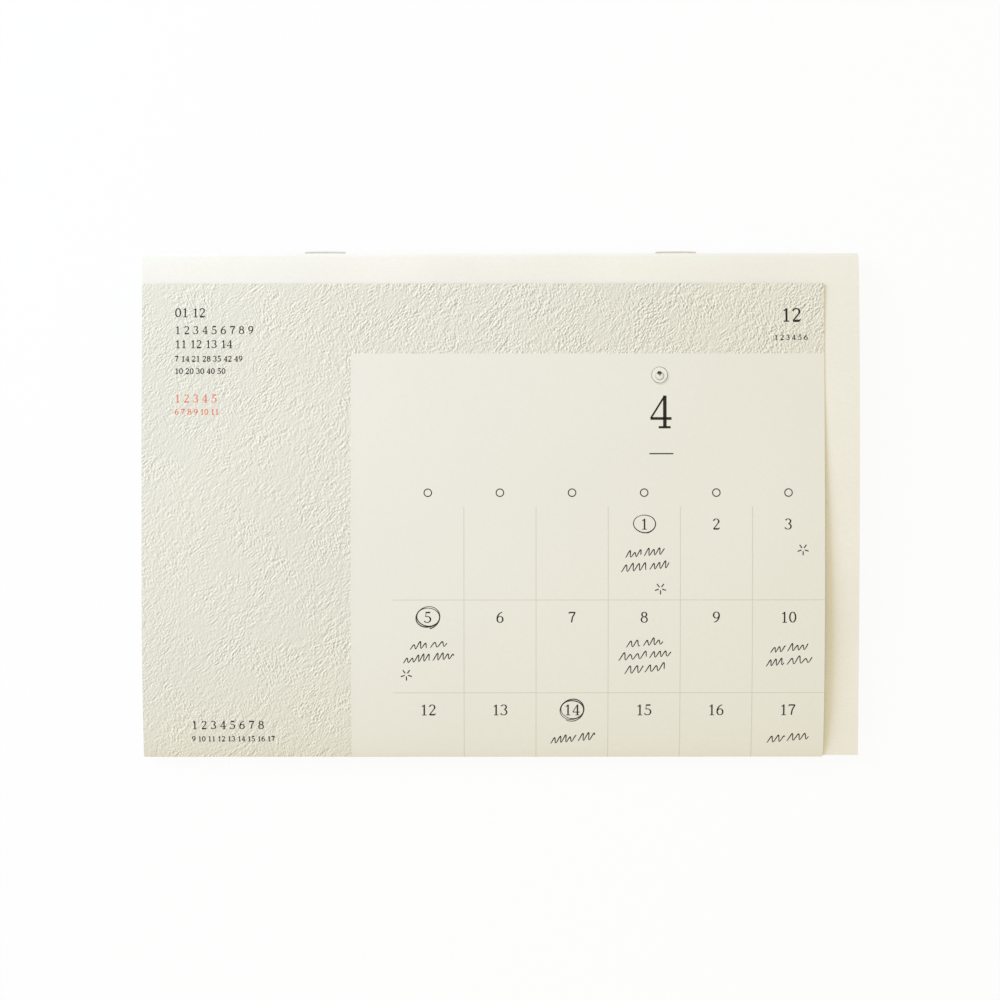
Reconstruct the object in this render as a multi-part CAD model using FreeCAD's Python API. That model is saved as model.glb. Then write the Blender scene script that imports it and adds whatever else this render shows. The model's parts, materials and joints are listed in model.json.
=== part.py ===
import FreeCAD, Part
import math
import os

# A closed wall calendar in landscape: nested sheets folded once and held by two wire staples.
# It lies on its back leaf. +X runs along the fold, +Y points to the fold, +Z leaves the front.
# The origin is the middle of the closed calendar on the surface that it lies on. Millimetres.
# A place in the side profile is given as s, the distance in from the outermost line of the fold,
# and z, the height.

Vector = FreeCAD.Vector

# Sheets
LEAF_WIDTH = 210.0
CLOSED_HEIGHT = 147.6
INNER_SHEET_COUNT = 6
INNER_PAPER = 0.14
COVER_PAPER = 0.20

# Staples, bent from flat wire
WIRE = 0.40
WIRE_WIDTH = 0.60
STAPLE_SEAT = 0.02
STAPLE_BEND_INSIDE = 0.04
STAPLE_HOLE_CLEARANCE = 0.05
CROWN_WIDTH = 12.1
CROWN_BOW = 0.12
CROWN_BOW_SHARE = 0.8
CLINCH_LENGTH = 4.6
STAPLE_SPACING = 103.0

# Fold: the sheets bend round the staples' clinched ends, and the puffed leaves lift it off the table
FOLD_SLACK = 0.10
SPINE_GAP = 0.08
FOLD_HEIGHT = 3.3
BACK_RISE = 24.0
FRONT_SPRING_ANGLE = 12.0
SPINE_HALF_ANGLE = 60.0
CREASE_GAP_ANGLE = 4.5
CREASE_STAND_OFF = 0.03

# Puffed leaves
OPEN_EDGE_HEIGHT = 3.35
PUFF = 2.65
PUFF_RISE = 0.7
PUFF_FALL = 1.0
LEAF_GAP = 0.05
FAN_SHARE = 0.7
FAN_REACH = 80.0
SLOT_ROOT = 4.0
BACK_GAP = 0.20
COVER_GAP_REACH = 8.0
ARC_COUNT_NEAR_FOLD = 4
ARC_COUNT_TO_OPEN_EDGE = 5

# Printed sheet hooked round the open edge of the front leaf
TITLE_PAPER = 0.12
TITLE_LEFT = -104.8
TITLE_RIGHT = 94.6
TITLE_TOP = 9.2
TITLE_TOUCH = 34.0
TITLE_TOP_LIFT = 0.35
TITLE_LIFT = 1.9
TITLE_LIFT_RISE = 1.8
TITLE_LIFT_FALL = 0.7
TITLE_CLEARANCE = 0.06
TITLE_BEND_OUT = 0.10
TITLE_BEND_SLOPE = 17.5
TITLE_BEND_LEAD = 2.2
TITLE_FLAP = 22.0
TITLE_FLAP_SLOPE = 4.0
FLAP_CLEARANCE = 0.25
TITLE_ARC_COUNTS = (2, 3, 6)

# Print on that sheet, as thin films of ink
INK = 0.04
FIELD_LEFT = -43.8
FIELD_TOP = 29.7
GRID_LEFT = -31.6
GRID_COLUMN = 21.05
GRID_FIRST_COLUMN = -10.45
GRID_COLUMN_COUNT = 5
GRID_TOP = 74.4
GRID_ROW = 27.2
GRID_FIRST_ROW = 101.7
GRID_ROW_COUNT = 2
GRID_LINE = 0.22
PIN_X = 46.6
PIN_FROM_FOLD = 36.1
PIN_DIAMETER = 5.2
PIN_RING = 0.35
PIN_EYE_DIAMETER = 1.5

# Hole for a wall pin, near the open edge
HANG_HOLE_DIAMETER = 4.0
HANG_HOLE_FROM_EDGE = 8.0

# Sizes that follow from these
LEAF_COUNT = 2 * INNER_SHEET_COUNT
FOLD_INNER_RADIUS = WIRE_WIDTH / 2 + FOLD_SLACK
BLOCK_FOLD_RADIUS = FOLD_INNER_RADIUS + INNER_SHEET_COUNT * INNER_PAPER
SPINE_INNER_RADIUS = BLOCK_FOLD_RADIUS + SPINE_GAP
FOLD_RADIUS = SPINE_INNER_RADIUS + COVER_PAPER
FRONT_GAP = TITLE_CLEARANCE + TITLE_PAPER + FLAP_CLEARANCE
FOLD_TOP = FOLD_HEIGHT + FOLD_RADIUS
FOLD_BOTTOM = FOLD_HEIGHT - FOLD_RADIUS
STAPLE_BEND = STAPLE_BEND_INSIDE + WIRE / 2
STAPLE_LEG_OFFSET = (CROWN_WIDTH - WIRE) / 2
REACH = 2.0 * CLOSED_HEIGHT
FOLD_CENTRE = (FOLD_RADIUS, FOLD_HEIGHT)
FRONT_BEND_END = 90.0 - FRONT_SPRING_ANGLE
BACK_BEND_END = -90.0
TITLE_BEND_CENTRE = (CLOSED_HEIGHT + TITLE_BEND_OUT, OPEN_EDGE_HEIGHT - COVER_PAPER / 2)
TITLE_BEND_INSIDE = COVER_PAPER / 2 + TITLE_CLEARANCE
TITLE_BEND_START = 90.0 + TITLE_BEND_SLOPE
TITLE_BEND_END = 270.0 - TITLE_FLAP_SLOPE
INK_END = 180.0
NEARLY_STRAIGHT = 0.001


def at(s, z, x=0.0):
    """The point at distance s from the fold, height z and sideways place x."""
    return Vector(x, CLOSED_HEIGHT / 2 - s, z)


def smooth_step(u):
    """0 below 0, 1 above 1, and a smooth S between them."""
    u = min(max(u, 0.0), 1.0)
    return u * u * (3.0 - 2.0 * u)


def hump(u, rise, fall):
    """A hump that is 0 at u = 0 and u = 1 and 1 at its crest, steeper where the exponent is small."""
    crest = rise / (rise + fall)
    u = min(max(u, 0.0), 1.0)
    return (u / crest) ** rise * ((1.0 - u) / (1.0 - crest)) ** fall


def along_leaf(s):
    """How far along the leaf s lies, from 0 at the fold's bend to 1 at the open edge."""
    return (s - FOLD_RADIUS) / (CLOSED_HEIGHT - FOLD_RADIUS)


def back_height(s):
    """Underside of the back leaf: flat on the table, and lifted near the fold."""
    return FOLD_BOTTOM * (1.0 - smooth_step((s - FOLD_RADIUS) / BACK_RISE))


def front_height(s):
    """Top of the front leaf: a straight fall from the fold to the open edge, plus the puff."""
    u = min(max(along_leaf(s), 0.0), 1.0)
    return FOLD_TOP + (OPEN_EDGE_HEIGHT - FOLD_TOP) * u + PUFF * hump(u, PUFF_RISE, PUFF_FALL)


def cover_gap(s, gap):
    """Air between the cover and the inner leaves: tight at the fold, then gap."""
    return SPINE_GAP + (gap - SPINE_GAP) * smooth_step((s - FOLD_RADIUS) / COVER_GAP_REACH)


def leaf_under(leaf, s):
    """Height of the underside of an inner leaf, counted from 0 at the back."""
    low = back_height(s) + COVER_PAPER + cover_gap(s, BACK_GAP)
    high = front_height(s) - COVER_PAPER - cover_gap(s, FRONT_GAP)
    gaps = LEAF_COUNT - 1
    spare = high - low - LEAF_COUNT * INNER_PAPER - gaps * LEAF_GAP
    fan = FAN_SHARE * smooth_step((s - SLOT_ROOT) / FAN_REACH)
    side_gap = LEAF_GAP + fan * spare / gaps
    if leaf < INNER_SHEET_COUNT:
        return low + leaf * (INNER_PAPER + side_gap)
    return high - (LEAF_COUNT - leaf) * INNER_PAPER - (gaps - leaf) * side_gap


def leaf_top(leaf, s):
    """Height of the top of an inner leaf."""
    return leaf_under(leaf, s) + INNER_PAPER


def places_through(marks, counts):
    """Distances from the fold, from mark to mark, with so many even steps between each two."""
    places = [marks[0]]
    for near, far, count in zip(marks, marks[1:], counts):
        places += [near + (far - near) * (i + 1) / count for i in range(count)]
    return places


def leaf_places():
    """Places along a leaf, closer together where the back leaves rise to the fold."""
    marks = (SLOT_ROOT, FOLD_RADIUS + BACK_RISE, CLOSED_HEIGHT)
    return places_through(marks, (ARC_COUNT_NEAR_FOLD, ARC_COUNT_TO_OPEN_EDGE))


def arc(start, middle, end):
    """The arc through three points, or a straight edge where they are in line."""
    if middle.distanceToLine(start, end - start) < NEARLY_STRAIGHT:
        return Part.makeLine(start, end)
    return Part.Arc(start, middle, end).toShape()


def leaving_arc(start, direction, end):
    """The arc that leaves start in a direction and reaches end."""
    chord = end - start
    sideways = direction - chord * (direction.dot(chord) / chord.dot(chord))
    if sideways.Length < NEARLY_STRAIGHT:
        return Part.makeLine(start, end)
    sagitta = chord.Length / 2 * math.tan(direction.getAngle(chord) / 2)
    return arc(start, start + chord / 2 + sideways.normalize() * sagitta, end)


def bend_point(radius, angle, centre=FOLD_CENTRE):
    """A point on a bend, at an angle up from the outward direction."""
    turn = math.radians(angle)
    s, z = centre
    return at(s - radius * math.cos(turn), z + radius * math.sin(turn))


def bend(radius, first, last, centre=FOLD_CENTRE):
    """An arc in the side profile, about the fold's centre unless another is given."""
    points = [bend_point(radius, angle, centre) for angle in (first, (first + last) / 2, last)]
    return Part.Arc(*points).toShape()


def way_out(radius, angle, centre=FOLD_CENTRE, side=1):
    """Where a leaf runs out of a bend, and its direction there; side is 1 at the fold, -1 opposite."""
    turn = math.radians(angle)
    return bend_point(radius, angle, centre), Vector(0, -side * abs(math.sin(turn)), side * math.cos(turn))


def curve(height, places, bend_out=None, at_far_end=False):
    """Arcs along a height, joined at the near or the far end to the bend that has this way out."""
    points = [at(s, height(s)) for s in places]
    middles = [at(s, height(s)) for s in [(a + b) / 2 for a, b in zip(places, places[1:])]]
    edges = [arc(*three) for three in zip(points, middles, points[1:])]
    if bend_out:
        edges.append(leaving_arc(*bend_out, points[-1 if at_far_end else 0]))
    return edges


def extrude(edges, left, right):
    """The solid with the side profile that the edges bound, from x = left to x = right."""
    wire = Part.Wire(Part.sortEdges(edges)[0])
    face = Part.Face(wire)
    face.translate(Vector(left, 0, 0))
    return face.extrude(Vector(right - left, 0, 0))


def at_end(edges, side):
    """The end of a row of edges that lies furthest towards -Y (side -1) or +Y (side 1)."""
    return max((v.Point for edge in edges for v in edge.Vertexes), key=lambda p: side * p.y)


def closing(edges, others, side):
    """The straight edge between the ends of two rows of edges, on the side of -Y or +Y."""
    return Part.makeLine(at_end(edges, side), at_end(others, side))


def staple_centres():
    """Sideways places of the left and the right staple."""
    return -STAPLE_SPACING / 2, STAPLE_SPACING / 2


def staple_holes():
    """Slots that clear the four legs through the fold."""
    across = WIRE + 2 * STAPLE_HOLE_CLEARANCE
    high = WIRE_WIDTH + 2 * STAPLE_HOLE_CLEARANCE
    holes = []
    for centre in staple_centres():
        for side in (-1, 1):
            x = centre + side * STAPLE_LEG_OFFSET
            corner = at(FOLD_RADIUS, FOLD_HEIGHT - high / 2, x - across / 2)
            holes.append(Part.makeBox(across, 2 * FOLD_RADIUS, high, corner))
    return holes


def hang_hole():
    """Cylinder for a wall pin, through the inner leaves and the back of the cover."""
    start = at(CLOSED_HEIGHT - HANG_HOLE_FROM_EDGE, -FOLD_HEIGHT)
    return Part.makeCylinder(HANG_HOLE_DIAMETER / 2, REACH, start, Vector(0, 0, 1))


def page_block():
    """The nested inner sheets, one solid at the fold, with their leaves apart beyond it."""
    bent_faces = {
        ("under", 0): (BLOCK_FOLD_RADIUS, BACK_BEND_END),
        ("top", INNER_SHEET_COUNT - 1): (FOLD_INNER_RADIUS, BACK_BEND_END),
        ("under", INNER_SHEET_COUNT): (FOLD_INNER_RADIUS, FRONT_BEND_END),
        ("top", LEAF_COUNT - 1): (BLOCK_FOLD_RADIUS, FRONT_BEND_END),
    }

    def face(name, leaf, height):
        bent = bent_faces.get((name, leaf))
        return curve(lambda s: height(leaf, s), leaf_places(), bent and way_out(*bent))

    edges = [bend(r, BACK_BEND_END, FRONT_BEND_END) for r in (FOLD_INNER_RADIUS, BLOCK_FOLD_RADIUS)]
    below = None
    for leaf in range(LEAF_COUNT):
        under, top = face("under", leaf, leaf_under), face("top", leaf, leaf_top)
        edges += under + top + [closing(under, top, -1)]
        if below and leaf != INNER_SHEET_COUNT:
            edges.append(closing(below, under, 1))
        below = top
    block = extrude(edges, -LEAF_WIDTH / 2, LEAF_WIDTH / 2)
    return block.cut(staple_holes() + [hang_hole()])


def cover_spine():
    """The strip of the cover round the fold, between the two creases."""
    outer = bend(FOLD_RADIUS, -SPINE_HALF_ANGLE, SPINE_HALF_ANGLE)
    inner = bend(SPINE_INNER_RADIUS, -SPINE_HALF_ANGLE, SPINE_HALF_ANGLE)
    ends = [Part.makeLine(outer.Vertexes[i].Point, inner.Vertexes[i].Point) for i in (0, 1)]
    spine = extrude([outer, inner] + ends, -LEAF_WIDTH / 2, LEAF_WIDTH / 2)
    return spine.cut(staple_holes())


def cover_leaf(outside, inside, side, bend_end):
    """A cover leaf from its crease to the open edge; side is 1 for the front and -1 for the back."""
    first = side * (SPINE_HALF_ANGLE + CREASE_GAP_ANGLE)
    bends = [bend(FOLD_RADIUS, first, bend_end), bend(SPINE_INNER_RADIUS, first, bend_end)]
    ends = [Part.makeLine(bend_point(FOLD_RADIUS, first), bend_point(SPINE_INNER_RADIUS, first))]
    ends.append(closing(outside, inside, -1))
    return extrude(outside + inside + bends + ends, -LEAF_WIDTH / 2, LEAF_WIDTH / 2)


def front_cover():
    """The puffed front leaf of the cover."""

    def under(s):
        return front_height(s) - COVER_PAPER

    outside = curve(front_height, leaf_places(), way_out(FOLD_RADIUS, FRONT_BEND_END))
    inside = curve(under, leaf_places(), way_out(SPINE_INNER_RADIUS, FRONT_BEND_END))
    return cover_leaf(outside, inside, 1, FRONT_BEND_END)


def back_cover():
    """The back leaf of the cover, flat on the table and curving up to the fold."""

    def top(s):
        return back_height(s) + COVER_PAPER

    outside = curve(back_height, leaf_places(), way_out(FOLD_RADIUS, BACK_BEND_END))
    inside = curve(top, leaf_places(), way_out(SPINE_INNER_RADIUS, BACK_BEND_END))
    return cover_leaf(outside, inside, -1, BACK_BEND_END).cut(hang_hole())


def title_under(s):
    """Underside of the printed sheet: on the front leaf near the crest, clear of it elsewhere."""
    touch = TITLE_TOUCH
    if s < touch:
        lift = TITLE_TOP_LIFT * ((touch - s) / (touch - TITLE_TOP)) ** 2
    else:
        u = (s - touch) / (CLOSED_HEIGHT - touch)
        lift = TITLE_LIFT * hump(u, TITLE_LIFT_RISE, TITLE_LIFT_FALL)
    return front_height(s) + TITLE_CLEARANCE + lift


def title_front(depth):
    """The front of the printed sheet at a depth over its inside, down to its bend."""

    def height(s):
        return title_under(s) + depth

    marks = (TITLE_TOP, FIELD_TOP, GRID_TOP, CLOSED_HEIGHT - TITLE_BEND_LEAD)
    bent = way_out(TITLE_BEND_INSIDE + depth, TITLE_BEND_START, TITLE_BEND_CENTRE, -1)
    return curve(height, places_through(marks, TITLE_ARC_COUNTS), bent, at_far_end=True)


def title_flap(depth):
    """The hidden flap at a depth over its inside, along the back of the front leaf to the bend."""

    def height(s):
        return front_height(s) - COVER_PAPER - TITLE_CLEARANCE - depth

    places = places_through((CLOSED_HEIGHT - TITLE_FLAP, CLOSED_HEIGHT - TITLE_BEND_LEAD), (2,))
    bent = way_out(TITLE_BEND_INSIDE + depth, TITLE_BEND_END, TITLE_BEND_CENTRE, -1)
    return curve(height, places, bent, at_far_end=True)


def title_bend(depth, last):
    """The sheet's bend round the open edge at a depth over its inside, as far as an angle."""
    return bend(TITLE_BEND_INSIDE + depth, TITLE_BEND_START, last, TITLE_BEND_CENTRE)


def title_sheet():
    """One sheet over the front, folded round the open edge, with a short flap behind the leaf.

    The outline of the printed field is marked on it, so that the ink lies on it face to face.
    """
    inside, outside = title_front(0.0), title_front(TITLE_PAPER)
    flap_inside, flap_outside = title_flap(0.0), title_flap(TITLE_PAPER)
    edges = inside + outside + flap_inside + flap_outside
    edges += [title_bend(depth, TITLE_BEND_END) for depth in (0.0, TITLE_PAPER)]
    edges += [closing(inside, outside, 1), closing(flap_inside, flap_outside, 1)]
    sheet = extrude(edges, TITLE_LEFT, TITLE_RIGHT)
    marked = sheet.generalFuse([page_field()])[0]
    return max(marked.Solids, key=lambda solid: solid.Volume)


def ink_film(layer):
    """A film of ink over the whole printed front, the first layer on the paper and each next on it."""
    low, high = TITLE_PAPER + layer * INK, TITLE_PAPER + (layer + 1) * INK
    under, top = title_front(low), title_front(high)
    bends = [title_bend(depth, INK_END) for depth in (low, high)]
    ends = [closing(under, top, 1), closing(bends[:1], bends[1:], -1)]
    return extrude(under + top + bends + ends, TITLE_LEFT, TITLE_RIGHT)


def prism(left, right, first, last):
    """A tall box over x from left to right and distances from the fold from first to last."""
    corner = at(last, -REACH / 2, left)
    return Part.makeBox(right - left, last - first, REACH, corner)


def page_field():
    """The pale field of the print, out to the sheet's right edge and its bend."""
    return ink_film(0).common(prism(FIELD_LEFT, REACH, FIELD_TOP, REACH))


def grid_lines():
    """Fine ruled lines on the pale field: columns from the grid's head down, and rows."""
    lines = []
    for i in range(GRID_COLUMN_COUNT):
        x = GRID_FIRST_COLUMN + i * GRID_COLUMN
        lines.append(prism(x - GRID_LINE / 2, x + GRID_LINE / 2, GRID_TOP, REACH))
    for i in range(GRID_ROW_COUNT):
        s = GRID_FIRST_ROW + i * GRID_ROW
        lines.append(prism(GRID_LEFT, REACH, s - GRID_LINE / 2, s + GRID_LINE / 2))
    return ink_film(1).common(lines[0].multiFuse(lines[1:]).removeSplitter())


def pin_mark():
    """A round mark at the head of the field: a ring with an eye in its middle."""
    centre = at(PIN_FROM_FOLD, -REACH / 2, PIN_X)

    def rod(diameter):
        return Part.makeCylinder(diameter / 2, REACH, centre, Vector(0, 0, 1))

    ring = rod(PIN_DIAMETER).cut(rod(PIN_DIAMETER - 2 * PIN_RING))
    return ink_film(1).common(ring.fuse(rod(PIN_EYE_DIAMETER)))


def rounded(before, corner, after, reach):
    """The arc that rounds a corner of a path, tangent to both sides at a distance of reach."""
    back = (before - corner).normalize()
    on = (after - corner).normalize()
    half_angle = back.getAngle(on) / 2
    to_middle = reach / math.cos(half_angle) - reach * math.tan(half_angle)
    middle = corner + (back + on).normalize() * to_middle
    return Part.Arc(corner + back * reach, middle, corner + on * reach).toShape()


def staple(centre):
    """A staple: bowed crown outside the fold, legs through it, ends clinched towards each other."""
    half, clinch_x = STAPLE_LEG_OFFSET, STAPLE_LEG_OFFSET - CLINCH_LENGTH
    crown_s = -(STAPLE_SEAT + STAPLE_BEND)
    gutter_s = FOLD_RADIUS - math.sqrt(FOLD_INNER_RADIUS ** 2 - (WIRE_WIDTH / 2) ** 2)
    clinch_s = gutter_s + STAPLE_SEAT + STAPLE_BEND
    bow_reach = CROWN_BOW_SHARE * half
    corners = [
        (clinch_x, clinch_s, 0.0),
        (half, clinch_s, STAPLE_BEND),
        (half, crown_s, STAPLE_BEND),
        (0.0, crown_s - CROWN_BOW, bow_reach),
        (-half, crown_s, STAPLE_BEND),
        (-half, clinch_s, STAPLE_BEND),
        (-clinch_x, clinch_s, 0.0),
    ]
    points = [at(s, FOLD_HEIGHT, centre + x) for x, s, _ in corners]
    edges, start = [], points[0]
    for i in range(1, len(points) - 1):
        arc = rounded(points[i - 1], points[i], points[i + 1], corners[i][2])
        edges += [Part.makeLine(start, arc.valueAt(arc.FirstParameter)), arc]
        start = arc.valueAt(arc.LastParameter)
    edges.append(Part.makeLine(start, points[-1]))
    sides = [(-1, -1), (1, -1), (1, 1), (-1, 1), (-1, -1)]
    section = Part.makePolygon(
        [points[0] + Vector(0, across * WIRE / 2, up * WIRE_WIDTH / 2) for across, up in sides]
    )
    return Part.Wire(edges).makePipeShell([section], True, False)


def build():
    """Every piece by its name."""
    left, right = staple_centres()
    return {
        "page_block": page_block(),
        "cover_spine": cover_spine(),
        "front_cover": front_cover(),
        "back_cover": back_cover(),
        "title_sheet": title_sheet(),
        "page_field": page_field(),
        "grid_lines": grid_lines(),
        "pin_mark": pin_mark(),
        "staple_left": staple(left),
        "staple_right": staple(right),
    }


def crease(side):
    """The line that a cover leaf turns on, just outside the cover; side is 1 in front, -1 behind."""
    angle = side * (SPINE_HALF_ANGLE + CREASE_GAP_ANGLE / 2)
    return bend_point(FOLD_RADIUS + CREASE_STAND_OFF, angle)


os.makedirs("parts", exist_ok=True)
for name, shape in build().items():
    shape.exportStep(os.path.join("parts", name + ".step"))
    print(name, "solids", len(shape.Solids), "valid", shape.isValid(), "mm3", round(shape.Volume, 2))
for name, side in (("front", 1), ("back", -1)):
    print(name, "crease at y", round(crease(side).y, 4), "z", round(crease(side).z, 4))
hole_s = CLOSED_HEIGHT - HANG_HOLE_FROM_EDGE
print("hang hole at y", round(at(hole_s, 0).y, 4), "through the inner leaves up to z",
      round(leaf_top(LEAF_COUNT - 1, hole_s), 4))
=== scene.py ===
"""A closed paper wall calendar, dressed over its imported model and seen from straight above.

Shapes are worked out in millimetres and turned into metres when a mesh is made. A place on the
calendar is given by x, sideways, and s, the distance in from the outermost line of the fold, as
y = half the closed height - s. The height z comes from the curve of the leaf or of the sheet.
"""

import json
import logging
import math
from dataclasses import dataclass, field, fields
from enum import Enum
from typing import Any

import bpy
import numpy as np
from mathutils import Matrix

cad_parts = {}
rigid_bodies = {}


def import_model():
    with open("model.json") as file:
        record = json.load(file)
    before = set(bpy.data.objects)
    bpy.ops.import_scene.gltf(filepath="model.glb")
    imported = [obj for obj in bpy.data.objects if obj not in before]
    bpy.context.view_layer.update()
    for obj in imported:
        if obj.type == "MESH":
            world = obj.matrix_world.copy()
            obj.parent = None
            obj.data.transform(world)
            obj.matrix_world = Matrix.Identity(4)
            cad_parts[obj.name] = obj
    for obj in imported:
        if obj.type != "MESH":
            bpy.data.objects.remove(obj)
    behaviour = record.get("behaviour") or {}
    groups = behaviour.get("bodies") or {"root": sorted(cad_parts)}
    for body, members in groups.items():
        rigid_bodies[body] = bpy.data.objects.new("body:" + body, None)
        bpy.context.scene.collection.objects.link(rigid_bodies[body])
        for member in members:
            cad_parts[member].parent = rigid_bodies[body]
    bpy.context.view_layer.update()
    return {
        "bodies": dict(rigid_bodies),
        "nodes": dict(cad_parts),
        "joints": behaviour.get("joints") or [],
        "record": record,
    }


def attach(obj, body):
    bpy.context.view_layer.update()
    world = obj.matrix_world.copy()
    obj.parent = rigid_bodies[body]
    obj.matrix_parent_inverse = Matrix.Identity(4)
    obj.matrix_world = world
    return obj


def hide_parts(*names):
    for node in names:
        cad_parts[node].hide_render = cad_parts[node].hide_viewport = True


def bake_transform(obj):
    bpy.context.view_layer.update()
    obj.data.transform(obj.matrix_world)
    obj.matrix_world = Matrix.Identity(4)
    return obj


Array = np.ndarray
Colour = tuple[float, float, float]
Shape = tuple[Array, Array]

MM = 0.001
SHEET_RIGHT = 94.6
FIELD_LEFT = -43.8
NEAR = 1e-6
TINY = 1e-9
SOFT = (0.3, 0.7)
WHITE = (1.0, 1.0, 1.0, 1.0)
SHARP_ANGLE = math.radians(40.0)
FULL_TURN = 360
ARC_POINTS = 26
LINE_POINTS = 6

log = logging.getLogger("calendar")


class Side(Enum):
    """The two leaves of the cover; the value is their side of the fold's middle."""

    FRONT = 1
    BACK = -1


class Faces(Enum):
    """Which faces of a sheet carry its print."""

    ALL = 0
    OUTER_ONLY = 1


# Curves


def smooth_step(u: Array) -> Array:
    """3u^2 - 2u^3 with u held between 0 and 1, which is a smooth S."""
    u = np.clip(u, 0.0, 1.0)
    return u * u * (3.0 - 2.0 * u)


def hump(u: Array, rise: float, fall: float) -> Array:
    """(u/c)^rise ((1-u)/(1-c))^fall with c = rise/(rise+fall), which is 1 at its crest c.

    Args:
        u: places from 0 to 1.
        rise: exponent of the side near 0.
        fall: exponent of the side near 1.

    Returns:
        Heights from 0 to 1.
    """
    crest = rise / (rise + fall)
    u = np.clip(u, 0.0, 1.0)
    return (u / crest) ** rise * ((1.0 - u) / (1.0 - crest)) ** fall


def easing(start: Array, leave: Array, end: Array, arrive: Array, count: int) -> Array:
    """A cubic that leaves start along one direction and reaches end along another.

    P(t) = (2t^3-3t^2+1) P0 + (t^3-2t^2+t) L T0 + (3t^2-2t^3) P1 + (t^3-t^2) L T1, L the chord.

    Args:
        start: first point.
        leave: direction there.
        end: last point.
        arrive: direction there.
        count: how many points, both ends counted.

    Returns:
        The points, one a row.
    """
    t = np.linspace(0.0, 1.0, count)[:, None]
    chord = float(np.linalg.norm(end - start))
    leave = leave / np.linalg.norm(leave) * chord
    arrive = arrive / np.linalg.norm(arrive) * chord
    return (
        (2 * t**3 - 3 * t**2 + 1) * start
        + (t**3 - 2 * t**2 + t) * leave
        + (3 * t**2 - 2 * t**3) * end
        + (t**3 - t**2) * arrive
    )


@dataclass(frozen=True)
class SideProfile:
    """The calendar's side view in millimetres: the fold, the puffed leaves and the flat back.

    Attributes:
        closed_height: from the fold's outermost line to the open edge.
        fold_radius: outside radius of the fold.
        fold_height: height of the fold's middle.
        front_bend_end: how far the bend runs on to the front leaf, in degrees.
        bend_reach: distance from the fold at which the leaves follow their own curves.
        open_edge_height: top of the front leaf at the open edge.
        puff: how high the front leaf bulges between the fold and the open edge.
        puff_rise, puff_fall: exponents of the bulge near the fold and near the open edge.
        back_rise: how far the back leaf takes to come down flat.
        fine_end: distance from the fold up to which the points lie closer.
    """

    closed_height: float = 147.6
    cover_paper: float = 0.20
    fold_radius: float = 1.52
    fold_height: float = 3.3
    front_bend_end: float = 78.0
    back_bend_end: float = 90.0
    bend_reach: float = 4.0
    open_edge_height: float = 3.35
    puff: float = 2.65
    puff_rise: float = 0.7
    puff_fall: float = 1.0
    back_rise: float = 24.0
    bend_points: int = 25
    easing_points: int = 9
    fine_end: float = 30.0
    fine_points: int = 27
    coarse_points: int = 60

    def y(self, s: Array) -> Array:
        """Distance from the fold to the place across the calendar."""
        return self.closed_height / 2 - s

    def front(self, s: Array) -> Array:
        """Top of the front leaf: fold top + (edge - fold top) u + puff hump(u), u along the leaf.

        Args:
            s: distances from the fold.

        Returns:
            Heights.
        """
        top = self.fold_height + self.fold_radius
        u = np.clip((s - self.fold_radius) / (self.closed_height - self.fold_radius), 0.0, 1.0)
        rest = self.open_edge_height - top
        return top + rest * u + self.puff * hump(u, self.puff_rise, self.puff_fall)

    def back(self, s: Array) -> Array:
        """Underside of the back leaf: fold bottom (1 - smooth step), flat beyond the rise."""
        bottom = self.fold_height - self.fold_radius
        return bottom * (1.0 - smooth_step((s - self.fold_radius) / self.back_rise))

    def cover(self, side: Side, depth: float) -> Array:
        """Half of the cover from the fold's outermost line: a bend, an easing and the leaf.

        The bend is s = R - r cos a, z = Z + r sin a for a from 0 to the bend's end, and r is the
        fold's radius less the depth.

        Args:
            side: front or back.
            depth: distance in from the cover's outer face.

        Returns:
            Rows of (s, z), as many at every depth.
        """
        radius = self.fold_radius - depth
        last = self.front_bend_end if side is Side.FRONT else self.back_bend_end
        turn = np.radians(np.linspace(0.0, last, self.bend_points))
        flip = side.value
        bend = np.stack(
            (
                self.fold_radius - radius * np.cos(turn),
                self.fold_height + flip * radius * np.sin(turn),
            ),
            axis=1,
        )
        fine = np.linspace(self.bend_reach, self.fine_end, self.fine_points)
        coarse = np.linspace(self.fine_end, self.closed_height, self.coarse_points)
        s = np.concatenate((fine, coarse[1:]))
        height = self.front(s) if side is Side.FRONT else self.back(s)
        leaf = np.stack((s, height - flip * depth), axis=1)
        away = np.array((math.sin(turn[-1]), flip * math.cos(turn[-1])))
        link = easing(bend[-1], away, leaf[0], leaf[1] - leaf[0], self.easing_points)
        return np.concatenate((bend, link[1:-1], leaf))


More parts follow.
